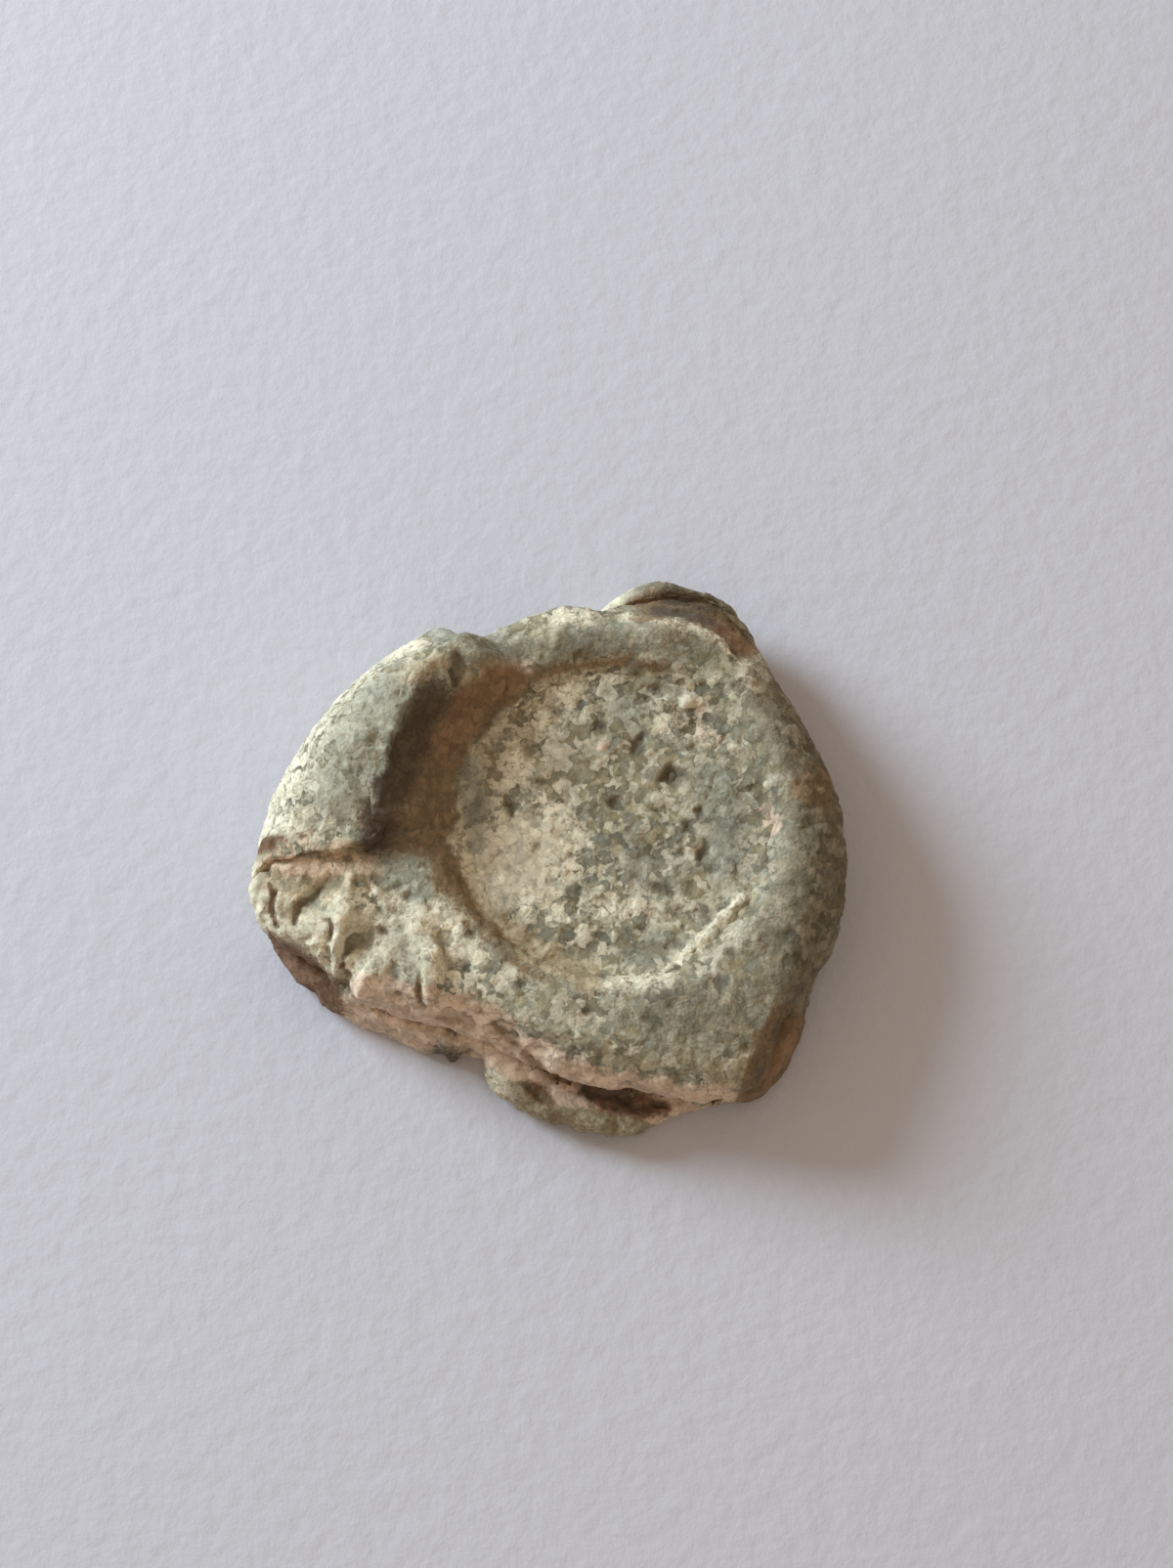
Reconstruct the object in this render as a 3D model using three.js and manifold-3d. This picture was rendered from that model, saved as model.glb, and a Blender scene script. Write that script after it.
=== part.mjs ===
// A lead cloth seal as it comes out of the ground, in millimetres with +Z up.
// Two lead discs, cast on one strip, were folded over the edge of a cloth. The rivet that stands on
// the back disc went through the cloth and through the front disc, and a round die spread its end.
// The origin is on the rivet's axis, on the flat of the back disc that the seal rests on. Seen from
// above with +Y away from the eye, the fold of the strip is on the left.
import * as THREE from "three";
import { mergeVertices } from "three/addons/utils/BufferGeometryUtils.js";
import Module from "manifold-3d";

const { clamp, degToRad, euclideanModulo, lerp, radToDeg, smoothstep } = THREE.MathUtils;

// Plies, from the resting face up.
const BACK_PLY = 1.5;
const CLOTH_PLY = 0.5;
const FRONT_WEB = 0.6; // the front disc where the rivet's head lies on it
const HEAD_PLY = 0.5; // the rivet's head, spread by the die
const RIM_RISE = 0.9; // the front disc's rim above the struck field
const PLY_GAP = 0.05; // between pieces that lie on each other

// The discs in plan, from the rivet's axis.
const DISC_RADIUS = 8.4;
const RIM_WIDTH = 2.75; // from the disc's edge in to the struck field
const BACK_FILLET = 0.55; // how far in the back disc's edge is rounded
const FRONT_CHAMFER = 0.25; // under the front disc's edge
const FRONT_LIP = 0.55; // height of the front disc's edge, up to where its rounding starts
const WORN_ROUND = 1.7; // how far in the front disc's edge is rounded by wear
const BROKEN_ROUND = 0.5; // the same along its broken corner
const TORN_SLOPE = 1.1; // how far in the edge slopes down along its torn stretch
const CLOTH_INSET = 0.45; // from the front disc's edge in to the cloth's
const CURL_RISE = 1.6; // by which the back disc's flange is bent up behind the nub
const CURL_START = 0.1; // past the front disc's edge
const CURL_REACH = 0.6; // from there out to its full height

// The rivet and the struck circle.
const SHANK_RADIUS = 1.8;
const SHANK_GAP = 0.05;
const SOCKET_FLOOR = 0.6; // lead of the back disc left under the shank
const HEAD_GAP = 0.1; // from the rivet's head to the seat it fills
const WALL_SLOPE = degToRad(48); // of the flank that the die's edge left

// The worn device on the struck field: a boss, a ring and radial strokes round it.
const RELIEF = 0.2;
const WORN_AWAY = 0.08; // of the relief, at the field's right edge
const BOSS_WIDTH = 3;
const RING_INSET = 2.35; // from the field's edge in to the ring
const RING_WIDTH = 0.7;
const STROKES = 26;
const STROKE_INSET = 1.35; // from the field's edge in to the middle of the strokes
const STROKE_LENGTH = 1.3;
const STROKE_WIDTH = 0.5;
const FAINT_STROKE = 0.3; // share of their height that the strokes keep where they are worn most

// The fold of the strip: a bulging roll, skewed to the discs and torn across at its lower end.
const FOLD_HEADING = degToRad(143); // the way the strip runs out from the discs
const FOLD_WIDTH = 11.4; // along the fold, from its upper end to past the tear
const FOLD_OVERRUN = 2.0; // how far out past the roll's reach the strip still meets the tear
const FOLD_PROUD = 2.7; // how far the roll stands out past the disc's radius
const FOLD_RISE = 2.1; // the roll's crest above the rim
const FOLD_BELLY = 2.4; // from the roll's crest out to its outermost line
const FOLD_BELLY_HEIGHT = 2.4; // of that outermost line
const FOLD_BOW = 1.2; // of its reach, that the roll loses at each end
const FOLD_DROOP = 1.15; // of its height, that the roll loses at its upper end
const TEAR_DROOP = 1.3; // and at its lower end, by the tear
const TEAR_SHARE = 0.55; // of the half width, from the roll's middle to where it has lost that
const FOLD_ROOT = 2.4; // how far inside the disc's radius the strip starts before it is trimmed
const EYE_SWELL = 0.4; // by which the hollow inside the fold is wider, each way, than the slot
const EYE_INSET = 2.0; // from the roll's outermost line in to the middle of the eye
const ROLL_FADE_START = -1.35; // on the front disc, in half widths from the roll's middle
const ROLL_FADE_END = -0.95; // where the roll stands at its full height
const TEAR_START = 183.5; // degrees from +X to the tear across the roll, where it is still whole
const TEAR_END = 188; // and where its shoulder lies
const CUT_GAP = 0.3; // from the trimmed strip to the discs
const TRIM_OVERLAP = 1; // of the block that trims it, above and below

// Where two surfaces of the front disc meet, they run into each other over about this height.
const BLEND = 0.35;

// Where each disc was squeezed out of round: the heading of each lobe in degrees from +X, how far it
// reaches, and how many degrees it takes to rise and to fall again, going anticlockwise.
const frontLobes = [
  { heading: 68, reach: 0.8, rise: 24, fall: 24 }, // the nub at the top
  { heading: 188.5, reach: 5.2, rise: 5, fall: 58 }, // the shoulder below the fold's tear
  { heading: 248, reach: 0.55, rise: 38, fall: 38 }, // the torn edge
  { heading: 205, reach: -0.8, rise: 6, fall: 8 }, // the bite in the shoulder
  { heading: 290, reach: 1.6, rise: 60, fall: 84 }, // the lower right side
  { heading: 297, reach: 1.1, rise: 24, fall: 15 }, // its corner
  { heading: 28, reach: -0.3, rise: 24, fall: 24 }, // worn in at the upper right
];
const backLobes = [
  { heading: 61, reach: 1.0, rise: 11, fall: 15 }, // the corner of the flange behind the nub
  { heading: 79, reach: 1.6, rise: 27, fall: 26 }, // that flange
  { heading: 189, reach: 4.9, rise: 5.5, fall: 70 }, // the shoulder's lower layer
  { heading: 262, reach: 2.5, rise: 40, fall: 40 }, // the flange under the torn edge
  { heading: 240, reach: -0.9, rise: 11, fall: 4 }, // the bite before it
  { heading: 273, reach: 0.4, rise: 12, fall: 8 }, // its far end
  { heading: 288, reach: -0.5, rise: 8, fall: 12 }, // the bite after it
  { heading: 300, reach: 2.7, rise: 34, fall: 46 }, // the lower right corner
  { heading: 318, reach: -0.3, rise: 14, fall: 20 }, // the bite above it
  { heading: 30, reach: -0.4, rise: 26, fall: 22 }, // worn in at the upper right
];
// The stretches of the front disc's edge that are torn and broken rather than worn, as such lobes,
// and the one of the back disc's that is bent up.
const tornStretch = { heading: 250, rise: 52, fall: 46 };
const brokenStretch = { heading: 308, rise: 16, fall: 28 };
const curlStretch = { heading: 70, rise: 26, fall: 30 };
// And the stretches of the field where the strokes are worn least.
const strokeStretches = [
  { heading: 135, rise: 45, fall: 45 },
  { heading: 262, rise: 50, fall: 40 },
];

// The wrinkles of the shoulder: how high each stands, or how deep it is cut where below 0, and the
// two ends of its line in plan.
const WRINKLE_WIDTH = 0.9;
const wrinkles = [
  { rise: 0.35, from: [-7.1, -4.0], to: [-6.6, -6.8] },
  { rise: 0.3, from: [-9.5, -2.6], to: [-10.0, -5.6] },
  { rise: -0.35, from: [-10.6, -2.9], to: [-11.6, -3.9] },
  { rise: -0.4, from: [-9.0, -4.6], to: [-9.8, -6.6] },
];

// Fineness of the round shapes.
const SEGMENTS = 144;
const RIM_RINGS = 14;
const FIELD_RINGS = 18;
const MARGIN_RINGS = 4;
const FILLET_STEPS = 7;
const FOLD_STEPS = 12;
const FOLD_CURVE_STEPS = 6;
const GAP_STEPS = 8;
const WELD = 1e-4;

// Heights and reaches that follow from the driving dimensions.
const clothBase = BACK_PLY + PLY_GAP;
const clothTop = clothBase + CLOTH_PLY;
const frontBase = clothTop + PLY_GAP;
const webTop = frontBase + FRONT_WEB;
const headBase = webTop + PLY_GAP;
const fieldTop = headBase + HEAD_PLY;
const rimTop = fieldTop + RIM_RISE;
const crestTop = rimTop + FOLD_RISE;
const pressedAbove = (headBase + fieldTop) / 2; // only the tops that the die pressed lie above this
const holeRadius = SHANK_RADIUS + SHANK_GAP;
const fieldRadius = DISC_RADIUS - RIM_WIDTH;
const headRadius = fieldRadius - HEAD_GAP;
const foldReach = DISC_RADIUS + FOLD_PROUD;
const foldEnd = (foldReach + FOLD_OVERRUN) * Math.sin(degToRad(TEAR_END) - FOLD_HEADING);
const foldMiddle = foldEnd - FOLD_WIDTH / 2;
const ringRadius = fieldRadius - RING_INSET;
const strokeRadius = fieldRadius - STROKE_INSET;

// 1 at the lobe's heading, falling to 0 on either side without a corner.
function lobeShare(lobe, angle) {
  const turn = euclideanModulo(radToDeg(angle) - lobe.heading + 180, 360) - 180;
  const span = turn < 0 ? lobe.rise : lobe.fall;
  return Math.abs(turn) < span ? Math.cos(degToRad((90 * turn) / span)) ** 2 : 0;
}

// The radius of a squeezed disc's edge at an angle.
function edgeRadius(lobes, angle) {
  return lobes.reduce((radius, lobe) => radius + lobe.reach * lobeShare(lobe, angle), DISC_RADIUS);
}

// A place along the fold line, as a share of the way from the roll's middle to its end.
const foldShare = (along) => (along - foldMiddle) / (FOLD_WIDTH / 2);

// How far the roll's crest lies below its highest at such a share.
function crestDrop(share) {
  return share < 0 ? FOLD_DROOP * Math.min(1, -share) ** 3 : TEAR_DROOP * smoothstep(share, 0, TEAR_SHARE);
}

function smoothMin(a, b) {
  const mix = clamp(0.5 + (b - a) / (2 * BLEND), 0, 1);
  return lerp(b, a, mix) - BLEND * mix * (1 - mix);
}
const smoothMax = (a, b) => -smoothMin(-a, -b);

// The height to which the roll pulls up the front disc's margin: the crest's along the roll, and
// none past its upper end and below its tear.
function rollTop(radius, angle) {
  const share = foldShare(radius * Math.sin(angle - FOLD_HEADING));
  const heading = euclideanModulo(radToDeg(angle), 360);
  const pulled = smoothstep(share, ROLL_FADE_START, ROLL_FADE_END);
  return (crestTop - crestDrop(share)) * pulled * (1 - smoothstep(heading, TEAR_START, TEAR_END));
}

// 1 on a line, falling to 0 over about its width.
const bump = (distance, width) => Math.exp(-(((2 * distance) / width) ** 2));

// How much the shoulder's wrinkles raise or lower the front disc at a point in plan.
function wrinkleHeight(x, y) {
  const point = new THREE.Vector3(x, y, 0);
  const nearest = new THREE.Vector3();
  return wrinkles.reduce((height, { rise, from, to }) => {
    const line = new THREE.Line3(new THREE.Vector3(...from, 0), new THREE.Vector3(...to, 0));
    line.closestPointToPoint(point, true, nearest);
    return height + rise * bump(nearest.distanceTo(point), WRINKLE_WIDTH);
  }, 0);
}

// The top of the front disc: a rim that is rounded where it is worn and slopes where it is torn,
// pulled up into the roll, and cut by the die's flank.
function frontTop(radius, angle) {
  const lip = frontBase + FRONT_LIP;
  const torn = lobeShare(tornStretch, angle);
  const inside = edgeRadius(frontLobes, angle) - radius;
  const roundWidth = lerp(WORN_ROUND, BROKEN_ROUND, lobeShare(brokenStretch, angle));
  const round = Math.sqrt(1 - (1 - clamp(inside / roundWidth, 0, 1)) ** 2);
  const rim = lip + (rimTop - lip) * lerp(round, clamp(inside / TORN_SLOPE, 0, 1), torn);
  const roll = rollTop(radius, angle);
  const flank = fieldTop + (radius - fieldRadius) * Math.tan(WALL_SLOPE);
  const wrinkled = wrinkleHeight(radius * Math.cos(angle), radius * Math.sin(angle));
  return smoothMin(smoothMax(rim, roll) + wrinkled * Math.min(1, inside / FRONT_LIP), flank);
}

// The device's height above the field, lowered towards the right by wear.
function deviceHeight(radius, angle) {
  const boss = bump(radius, BOSS_WIDTH);
  const ring = bump(radius - ringRadius, RING_WIDTH);
  const pitch = (2 * Math.PI) / STROKES;
  const aside = radius * (euclideanModulo(angle, pitch) - pitch / 2);
  const kept = Math.max(...strokeStretches.map((stretch) => lobeShare(stretch, angle)));
  const line = bump(aside, STROKE_WIDTH) * bump(radius - strokeRadius, STROKE_LENGTH);
  const stroke = line * lerp(FAINT_STROKE, 1, kept);
  const wear = (WORN_AWAY / 2) * (1 + (radius * Math.cos(angle)) / fieldRadius);
  return (RELIEF - wear) * Math.max(boss, ring, stroke);
}

// A geometry of positions only, with the vertices that coincide made one.
function welded(geometry) {
  geometry.deleteAttribute("normal");
  geometry.deleteAttribute("uv");
  return mergeVertices(geometry, WELD);
}

// A lathe about Z whose points are then pressed: place(radius, height, angle) returns where a point
// of the profile goes, as a radius and a height.
function pressedLathe(profile, place) {
  const points = profile.map(([radius, height]) => new THREE.Vector2(radius, height));
  const lathe = new THREE.LatheGeometry(points, SEGMENTS).rotateX(Math.PI / 2);
  const position = lathe.attributes.position;
  for (let i = 0; i < position.count; i++) {
    const angle = Math.atan2(position.getY(i), position.getX(i));
    const distance = Math.hypot(position.getX(i), position.getY(i));
    const [radius, height] = place(distance, position.getZ(i), angle);
    position.setXYZ(i, radius * Math.cos(angle), radius * Math.sin(angle), height);
  }
  return welded(lathe);
}

// Lead under its grey-green and cream crust, paler or browner from piece to piece, and the cloth.
const frontLead = { color: 0x8e8770, roughness: 0.9, metalness: 0.1 };
const backLead = { color: 0x8c7b67, roughness: 0.95, metalness: 0.05 };
const struckLead = { color: 0x827e6c, roughness: 0.85, metalness: 0.15 };
const foldedLead = { color: 0xbab7a5, roughness: 0.95, metalness: 0.05 };
const stainedCloth = { color: 0x694b3a, roughness: 1, metalness: 0 };

function piece(name, geometry, look) {
  geometry.computeVertexNormals();
  const mesh = new THREE.Mesh(geometry, new THREE.MeshStandardMaterial(look));
  mesh.name = name;
  return mesh;
}

// How far the back disc is bent up at a point of its margin.
function curlHeight(radius, angle) {
  const out = radius - edgeRadius(frontLobes, angle) - CURL_START;
  return CURL_RISE * clamp(out / CURL_REACH, 0, 1) * lobeShare(curlStretch, angle);
}

// The lower disc: flat to rest on, rounded and partly bent up at its edge, with a blind socket for
// the shank.
function backDisc() {
  const filletCentre = DISC_RADIUS - BACK_FILLET;
  const fillet = Array.from({ length: FILLET_STEPS + 1 }, (_, i) => {
    const turn = Math.PI * (i / FILLET_STEPS - 0.5);
    return [filletCentre + BACK_FILLET * Math.cos(turn), (BACK_PLY / 2) * (1 + Math.sin(turn))];
  });
  const margin = Array.from({ length: MARGIN_RINGS }, (_, i) => {
    return lerp(fieldRadius, filletCentre, (i + 1) / (MARGIN_RINGS + 1));
  });
  const profile = [
    [0, 0],
    [fieldRadius, 0],
    ...margin.map((radius) => [radius, 0]),
    ...fillet,
    ...margin.map((radius) => [radius, BACK_PLY]).reverse(),
    [fieldRadius, BACK_PLY],
    [holeRadius, BACK_PLY],
    [holeRadius, SOCKET_FLOOR],
    [0, SOCKET_FLOOR],
  ];
  const place = (radius, height, angle) => {
    const share = clamp((radius - fieldRadius) / (filletCentre - fieldRadius), 0, 1);
    const squeezed = radius + share * (edgeRadius(backLobes, angle) - DISC_RADIUS);
    return [squeezed, height + curlHeight(squeezed, angle)];
  };
  return piece("back_disc", pressedLathe(profile, place), backLead);
}

// What is left of the cloth between the discs, pierced by the shank.
function clothRemnant() {
  const edge = DISC_RADIUS - CLOTH_INSET;
  const profile = [
    [holeRadius, clothBase],
    [edge, clothBase],
    [edge, clothTop],
    [holeRadius, clothTop],
    [holeRadius, clothBase],
  ];
  const place = (radius, height, angle) => {
    const squeezed = radius > fieldRadius ? edgeRadius(frontLobes, angle) - DISC_RADIUS : 0;
    return [radius + squeezed, height];
  };
  return piece("cloth_remnant", pressedLathe(profile, place), stainedCloth);
}

// The upper disc: a hole for the shank, a seat for the rivet's head, the die's flank and the rim.
function frontDisc() {
  const rings = Array.from({ length: RIM_RINGS + 1 }, (_, i) => {
    const share = Math.cos((Math.PI / 2) * (i / RIM_RINGS));
    return [fieldRadius + RIM_WIDTH * share, rimTop];
  });
  const profile = [
    [holeRadius, frontBase],
    [DISC_RADIUS - FRONT_CHAMFER, frontBase],
    [DISC_RADIUS, frontBase + FRONT_CHAMFER],
    ...rings,
    [fieldRadius, webTop],
    [holeRadius, webTop],
    [holeRadius, frontBase],
  ];
  const place = (radius, height, angle) => {
    const share = Math.max(0, (radius - fieldRadius) / RIM_WIDTH);
    const squeezed = radius + share * (edgeRadius(frontLobes, angle) - DISC_RADIUS);
    return [squeezed, height > pressedAbove ? frontTop(squeezed, angle) : height];
  };
  return piece("front_disc", pressedLathe(profile, place), frontLead);
}

// The rivet: its shank stands in the back disc's socket, and the struck field is the top of its head.
function rivet() {
  const foot = SOCKET_FLOOR + PLY_GAP;
  const radii = Array.from({ length: FIELD_RINGS + 1 }, (_, i) => headRadius * (1 - i / FIELD_RINGS));
  const profile = [
    [0, foot],
    [SHANK_RADIUS, foot],
    [SHANK_RADIUS, headBase],
    [headRadius, headBase],
    ...radii.map((radius) => [radius, fieldTop]),
  ];
  const place = (radius, height, angle) => {
    return [radius, height > pressedAbove ? height + deviceHeight(radius, angle) : height];
  };
  return piece("rivet", pressedLathe(profile, place), struckLead);
}

const wasm = await Module();
wasm.setup();

function toManifold(geometry) {
  const vertProperties = new Float32Array(geometry.attributes.position.array);
  const triVerts = new Uint32Array(geometry.index.array);
  return new wasm.Manifold(new wasm.Mesh({ numProp: 3, vertProperties, triVerts }));
}

function toGeometry(solid) {
  const { vertProperties, triVerts } = solid.getMesh();
  return new THREE.BufferGeometry()
    .setAttribute("position", new THREE.BufferAttribute(vertProperties, 3))
    .setIndex(new THREE.BufferAttribute(triVerts, 1));
}

// The radius at an angle of the line that keeps a gap outside both discs' edges.
function clearRadius(angle) {
  let clear = 0;
  for (let step = -GAP_STEPS; step <= GAP_STEPS; step++) {
    const turn = (step / GAP_STEPS) * (CUT_GAP / DISC_RADIUS);
    const edge = Math.max(edgeRadius(frontLobes, angle + turn), edgeRadius(backLobes, angle + turn));
    const aside = Math.min(CUT_GAP, Math.abs(edge * Math.sin(turn)));
    clear = Math.max(clear, edge * Math.cos(turn) + Math.sqrt(CUT_GAP ** 2 - aside ** 2));
  }
  return clear;
}

// The block that trims the strip: both discs in plan with the gap round them, taller than the roll.
function trimBlock() {
  const points = Array.from({ length: SEGMENTS }, (_, i) => {
    const angle = (2 * Math.PI * i) / SEGMENTS;
    return new THREE.Vector2(Math.cos(angle), Math.sin(angle)).multiplyScalar(clearRadius(angle));
  });
  const depth = crestTop + 2 * TRIM_OVERLAP;
  const block = new THREE.ExtrudeGeometry(new THREE.Shape(points), { depth, bevelEnabled: false });
  return toManifold(welded(block.translate(0, 0, -TRIM_OVERLAP)));
}

// The strip between the discs: a C in section that keeps an eye along its inside, its ends trimmed to
// the discs' edges.
function connectingStrip() {
  const root = DISC_RADIUS - FOLD_ROOT;
  const crest = foldReach - FOLD_BELLY;
  const eye = foldReach - EYE_INSET;
  const slotMiddle = (BACK_PLY + frontBase) / 2;
  const slotHalf = (frontBase - BACK_PLY) / 2;
  const eyeRadius = slotHalf + EYE_SWELL;
  const slotTurn = Math.asin(slotHalf / eyeRadius);
  const upperBelly = crestTop - FOLD_BELLY_HEIGHT;
  const section = new THREE.Shape()
    .moveTo(root, 0)
    .lineTo(crest, 0)
    .absellipse(crest, FOLD_BELLY_HEIGHT, FOLD_BELLY, FOLD_BELLY_HEIGHT, -Math.PI / 2, 0, false)
    .absellipse(crest, FOLD_BELLY_HEIGHT, FOLD_BELLY, upperBelly, 0, Math.PI / 2, false)
    .lineTo(root, crestTop)
    .lineTo(root, frontBase)
    .absarc(eye, slotMiddle, eyeRadius, Math.PI - slotTurn, slotTurn - Math.PI, true)
    .lineTo(root, BACK_PLY);
  const strip = new THREE.ExtrudeGeometry(section, {
    depth: FOLD_WIDTH,
    steps: FOLD_STEPS,
    curveSegments: FOLD_CURVE_STEPS,
    bevelEnabled: false,
  })
    .rotateX(Math.PI / 2)
    .translate(0, foldEnd, 0);
  const position = strip.attributes.position;
  for (let i = 0; i < position.count; i++) {
    const share = foldShare(position.getY(i));
    const lift = Math.max(0, (position.getZ(i) - frontBase) / (crestTop - frontBase));
    position.setX(i, position.getX(i) - FOLD_BOW * share ** 2);
    position.setZ(i, position.getZ(i) - lift * crestDrop(share));
  }
  const trimmed = toManifold(welded(strip.rotateZ(FOLD_HEADING))).subtract(trimBlock());
  return piece("connecting_strip", toGeometry(trimmed), foldedLead);
}

const seal = new THREE.Group();
seal.add(backDisc(), clothRemnant(), frontDisc(), rivet(), connectingStrip());
export default seal;
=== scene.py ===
"""A folded and riveted lead cloth seal as it comes out of the ground, dressed round its CAD solids.

Two lead discs, cast on one strip, were folded over the edge of a cloth and riveted shut by a round
die. Each lead piece is made from its CAD solid: remeshed, worked by dents, ridges and cracks,
roughened by a crust, and coloured by its chalk, earth and rust, with painted highlights on flanks
that face the window and painted shade on some that face away. Lengths in the tables are in
millimetres, and everything in Blender is in metres.
"""

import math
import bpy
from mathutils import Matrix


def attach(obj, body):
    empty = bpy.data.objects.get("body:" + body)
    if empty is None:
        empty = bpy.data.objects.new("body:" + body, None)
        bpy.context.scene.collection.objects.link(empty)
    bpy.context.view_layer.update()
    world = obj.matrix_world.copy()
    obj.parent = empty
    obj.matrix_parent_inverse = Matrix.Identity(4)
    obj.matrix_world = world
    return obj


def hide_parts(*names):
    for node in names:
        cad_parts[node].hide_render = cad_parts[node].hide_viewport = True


bl_info = {
    "name": "Lead Cloth Seal",
    "version": (1, 0, 0),
    "blender": (4, 5, 0),
    "location": "View3D > Sidebar > Seal",
    "description": "Builds an excavated lead cloth seal round its CAD solids",
    "category": "Object",
}

import bmesh
import bpy
import numpy as np
from mathutils import Vector, noise

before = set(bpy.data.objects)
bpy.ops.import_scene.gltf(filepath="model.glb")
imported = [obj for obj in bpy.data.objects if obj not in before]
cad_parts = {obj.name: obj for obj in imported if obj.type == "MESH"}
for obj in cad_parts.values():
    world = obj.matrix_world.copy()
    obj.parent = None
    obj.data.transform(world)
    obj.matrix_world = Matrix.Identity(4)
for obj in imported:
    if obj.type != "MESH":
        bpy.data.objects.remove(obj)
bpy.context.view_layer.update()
BODY = "root"
MM = 0.001
SEED = 11

# The struck field and the front disc's outline, as the CAD has them: each lobe as its heading, its
# reach, and the degrees it takes to rise and to fall.
FIELD_TOP = 3.25
DISC_RADIUS = 8.4
FRONT_LOBES = [
    (68, 0.8, 24, 24), (188.5, 5.2, 5, 58), (205, -0.8, 6, 8), (248, 0.55, 38, 38),
    (290, 1.6, 60, 84), (297, 1.1, 24, 15), (28, -0.3, 24, 24),
]


# ---------------------------------------------------------------- settings


def length(name, description, default, least=0.0):
    return bpy.props.FloatProperty(
        name=name, description=description, default=default, min=least, precision=5, unit="LENGTH",
    )


def colour(name, description, default):
    return bpy.props.FloatVectorProperty(
        name=name, description=description, default=default, size=4, min=0, max=1, subtype="COLOR",
    )


class SealCrustSettings(bpy.types.PropertyGroup):
    """The corroded surface of the lead"""

    voxel: length("Mesh Size", "Edge length of the remeshed lead", 0.000094, 0.00004)
    lump_size: length("Lump Size", "Width of the crust's lumps", 0.0011, 0.0001)
    lump_height: length("Lump Height", "How far the lumps stand out", 0.00034)
    grain_size: length("Grain Size", "Width of the crust's sandy grains", 0.00045, 0.0001)
    grain_height: length("Grain Height", "How far the grains stand out", 0.00005)
    flake_size: length("Flake Size", "Width of the crust's flakes", 0.00046, 0.0001)
    flake_height: length("Flake Height", "How far the flakes stand out", 0.00007)
    pit_size: length("Pit Spacing", "Distance between corrosion pits", 0.0009, 0.0001)
    pit_depth: length("Pit Depth", "Depth of the corrosion pits", 0.00012)


class SealFieldSettings(bpy.types.PropertyGroup):
    """The worn lumps and strokes scattered over the struck field"""

    remains: bpy.props.IntProperty(
        name="Remains", description="Number of worn lumps and strokes on the field", default=90, min=0,
    )
    length: length("Stroke Length", "Length of a middling stroke", 0.0006)
    width: length("Stroke Width", "Width of a middling stroke", 0.00036)
    height: length("Stroke Height", "Height of a middling stroke", 0.00007)


class SealClothSettings(bpy.types.PropertyGroup):
    """The remains of the cloth between the discs"""

    mesh: length("Mesh Size", "Edge length of the remeshed cloth", 0.00013, 0.00004)
    fray: length("Fray", "How far the ragged edge stands out of its solid", 0.00045)
    threads: bpy.props.IntProperty(
        name="Threads", description="Number of loose thread ends along the seam", default=160, min=0,
    )
    thread_length: length("Thread Length", "Length of a loose thread end", 0.0005)
    thread_radius: length("Thread Radius", "Radius of a thread", 0.00006)
    weave: length("Weave Pitch", "Distance from thread to thread", 0.00035, 0.00001)


class SealColourSettings(bpy.types.PropertyGroup):
    """The colours of the patina"""

    crust: colour("Crust", "Grey-green corrosion crust", (0.355, 0.340, 0.252, 1))
    dark: colour("Dark Crust", "Bare dark lead between the flakes", (0.165, 0.150, 0.104, 1))
    olive: colour("Olive Crust", "Yellow-olive corrosion crust", (0.400, 0.345, 0.205, 1))
    pale: colour("Pale Crust", "Pale flakes of crust", (0.620, 0.570, 0.420, 1))
    # The cream colour is also laid as painted highlight on flanks that face the window.
    cream: colour("Cream", "Chalky cream crust on worn heights", (0.885, 0.815, 0.600, 1))
    grey: colour("Grey Crust", "Blue-grey corrosion crust", (0.360, 0.368, 0.290, 1))
    tan: colour("Tan Crust", "Yellowish tan crust", (0.470, 0.375, 0.225, 1))
    # Grime, also laid as painted shade on the right rim and side and on the flange's top outer edge.
    grime: colour("Grime", "Dark olive-brown grime", (0.140, 0.115, 0.068, 1))
    blush: colour("Blush", "Pinkish crust on torn lead", (0.800, 0.605, 0.445, 1))
    # Soil, also laid as painted shade along the rim's inner top edge.
    soil: colour("Soil", "Dried brown earth in the recess", (0.250, 0.170, 0.090, 1))
    ochre: colour("Ochre", "Orange-brown earth", (0.310, 0.188, 0.104, 1))
    rust: colour("Rust", "Red-brown earth in cracks and seams", (0.205, 0.112, 0.064, 1))
    # Dark brown stain, also laid as painted shade on the roll's inner side and the broken face's inner
    # edge.
    stain: colour("Stain", "Dark brown stain inside the fold", (0.108, 0.080, 0.056, 1))
    cloth: colour("Cloth", "Stained wool", (0.130, 0.060, 0.032, 1))


class SealStageSettings(bpy.types.PropertyGroup):
    """The paper, the lights and the camera"""

    paper: colour("Paper", "Colour of the paper", (0.640, 0.640, 0.690, 1))
    key: bpy.props.FloatProperty(
        name="Key Light", description="Power of the window light", default=0.82, min=0, unit="POWER",
    )
    fill: bpy.props.FloatProperty(
        name="Fill Light", description="Strength of the sky all round", default=0.47, min=0,
    )
    elevation: bpy.props.FloatProperty(
        name="Camera Elevation", description="Angle above the paper", default=math.radians(72),
        subtype="ANGLE",
    )
    distance: length("Camera Distance", "From the camera to the seal", 0.16)


class SealSettings(bpy.types.PropertyGroup):
    """All settings of the seal"""

    crust: bpy.props.PointerProperty(type=SealCrustSettings)
    field: bpy.props.PointerProperty(type=SealFieldSettings)
    cloth: bpy.props.PointerProperty(type=SealClothSettings)
    colours: bpy.props.PointerProperty(type=SealColourSettings)
    stage: bpy.props.PointerProperty(type=SealStageSettings)


# ---------------------------------------------------------------- node helpers


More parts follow.
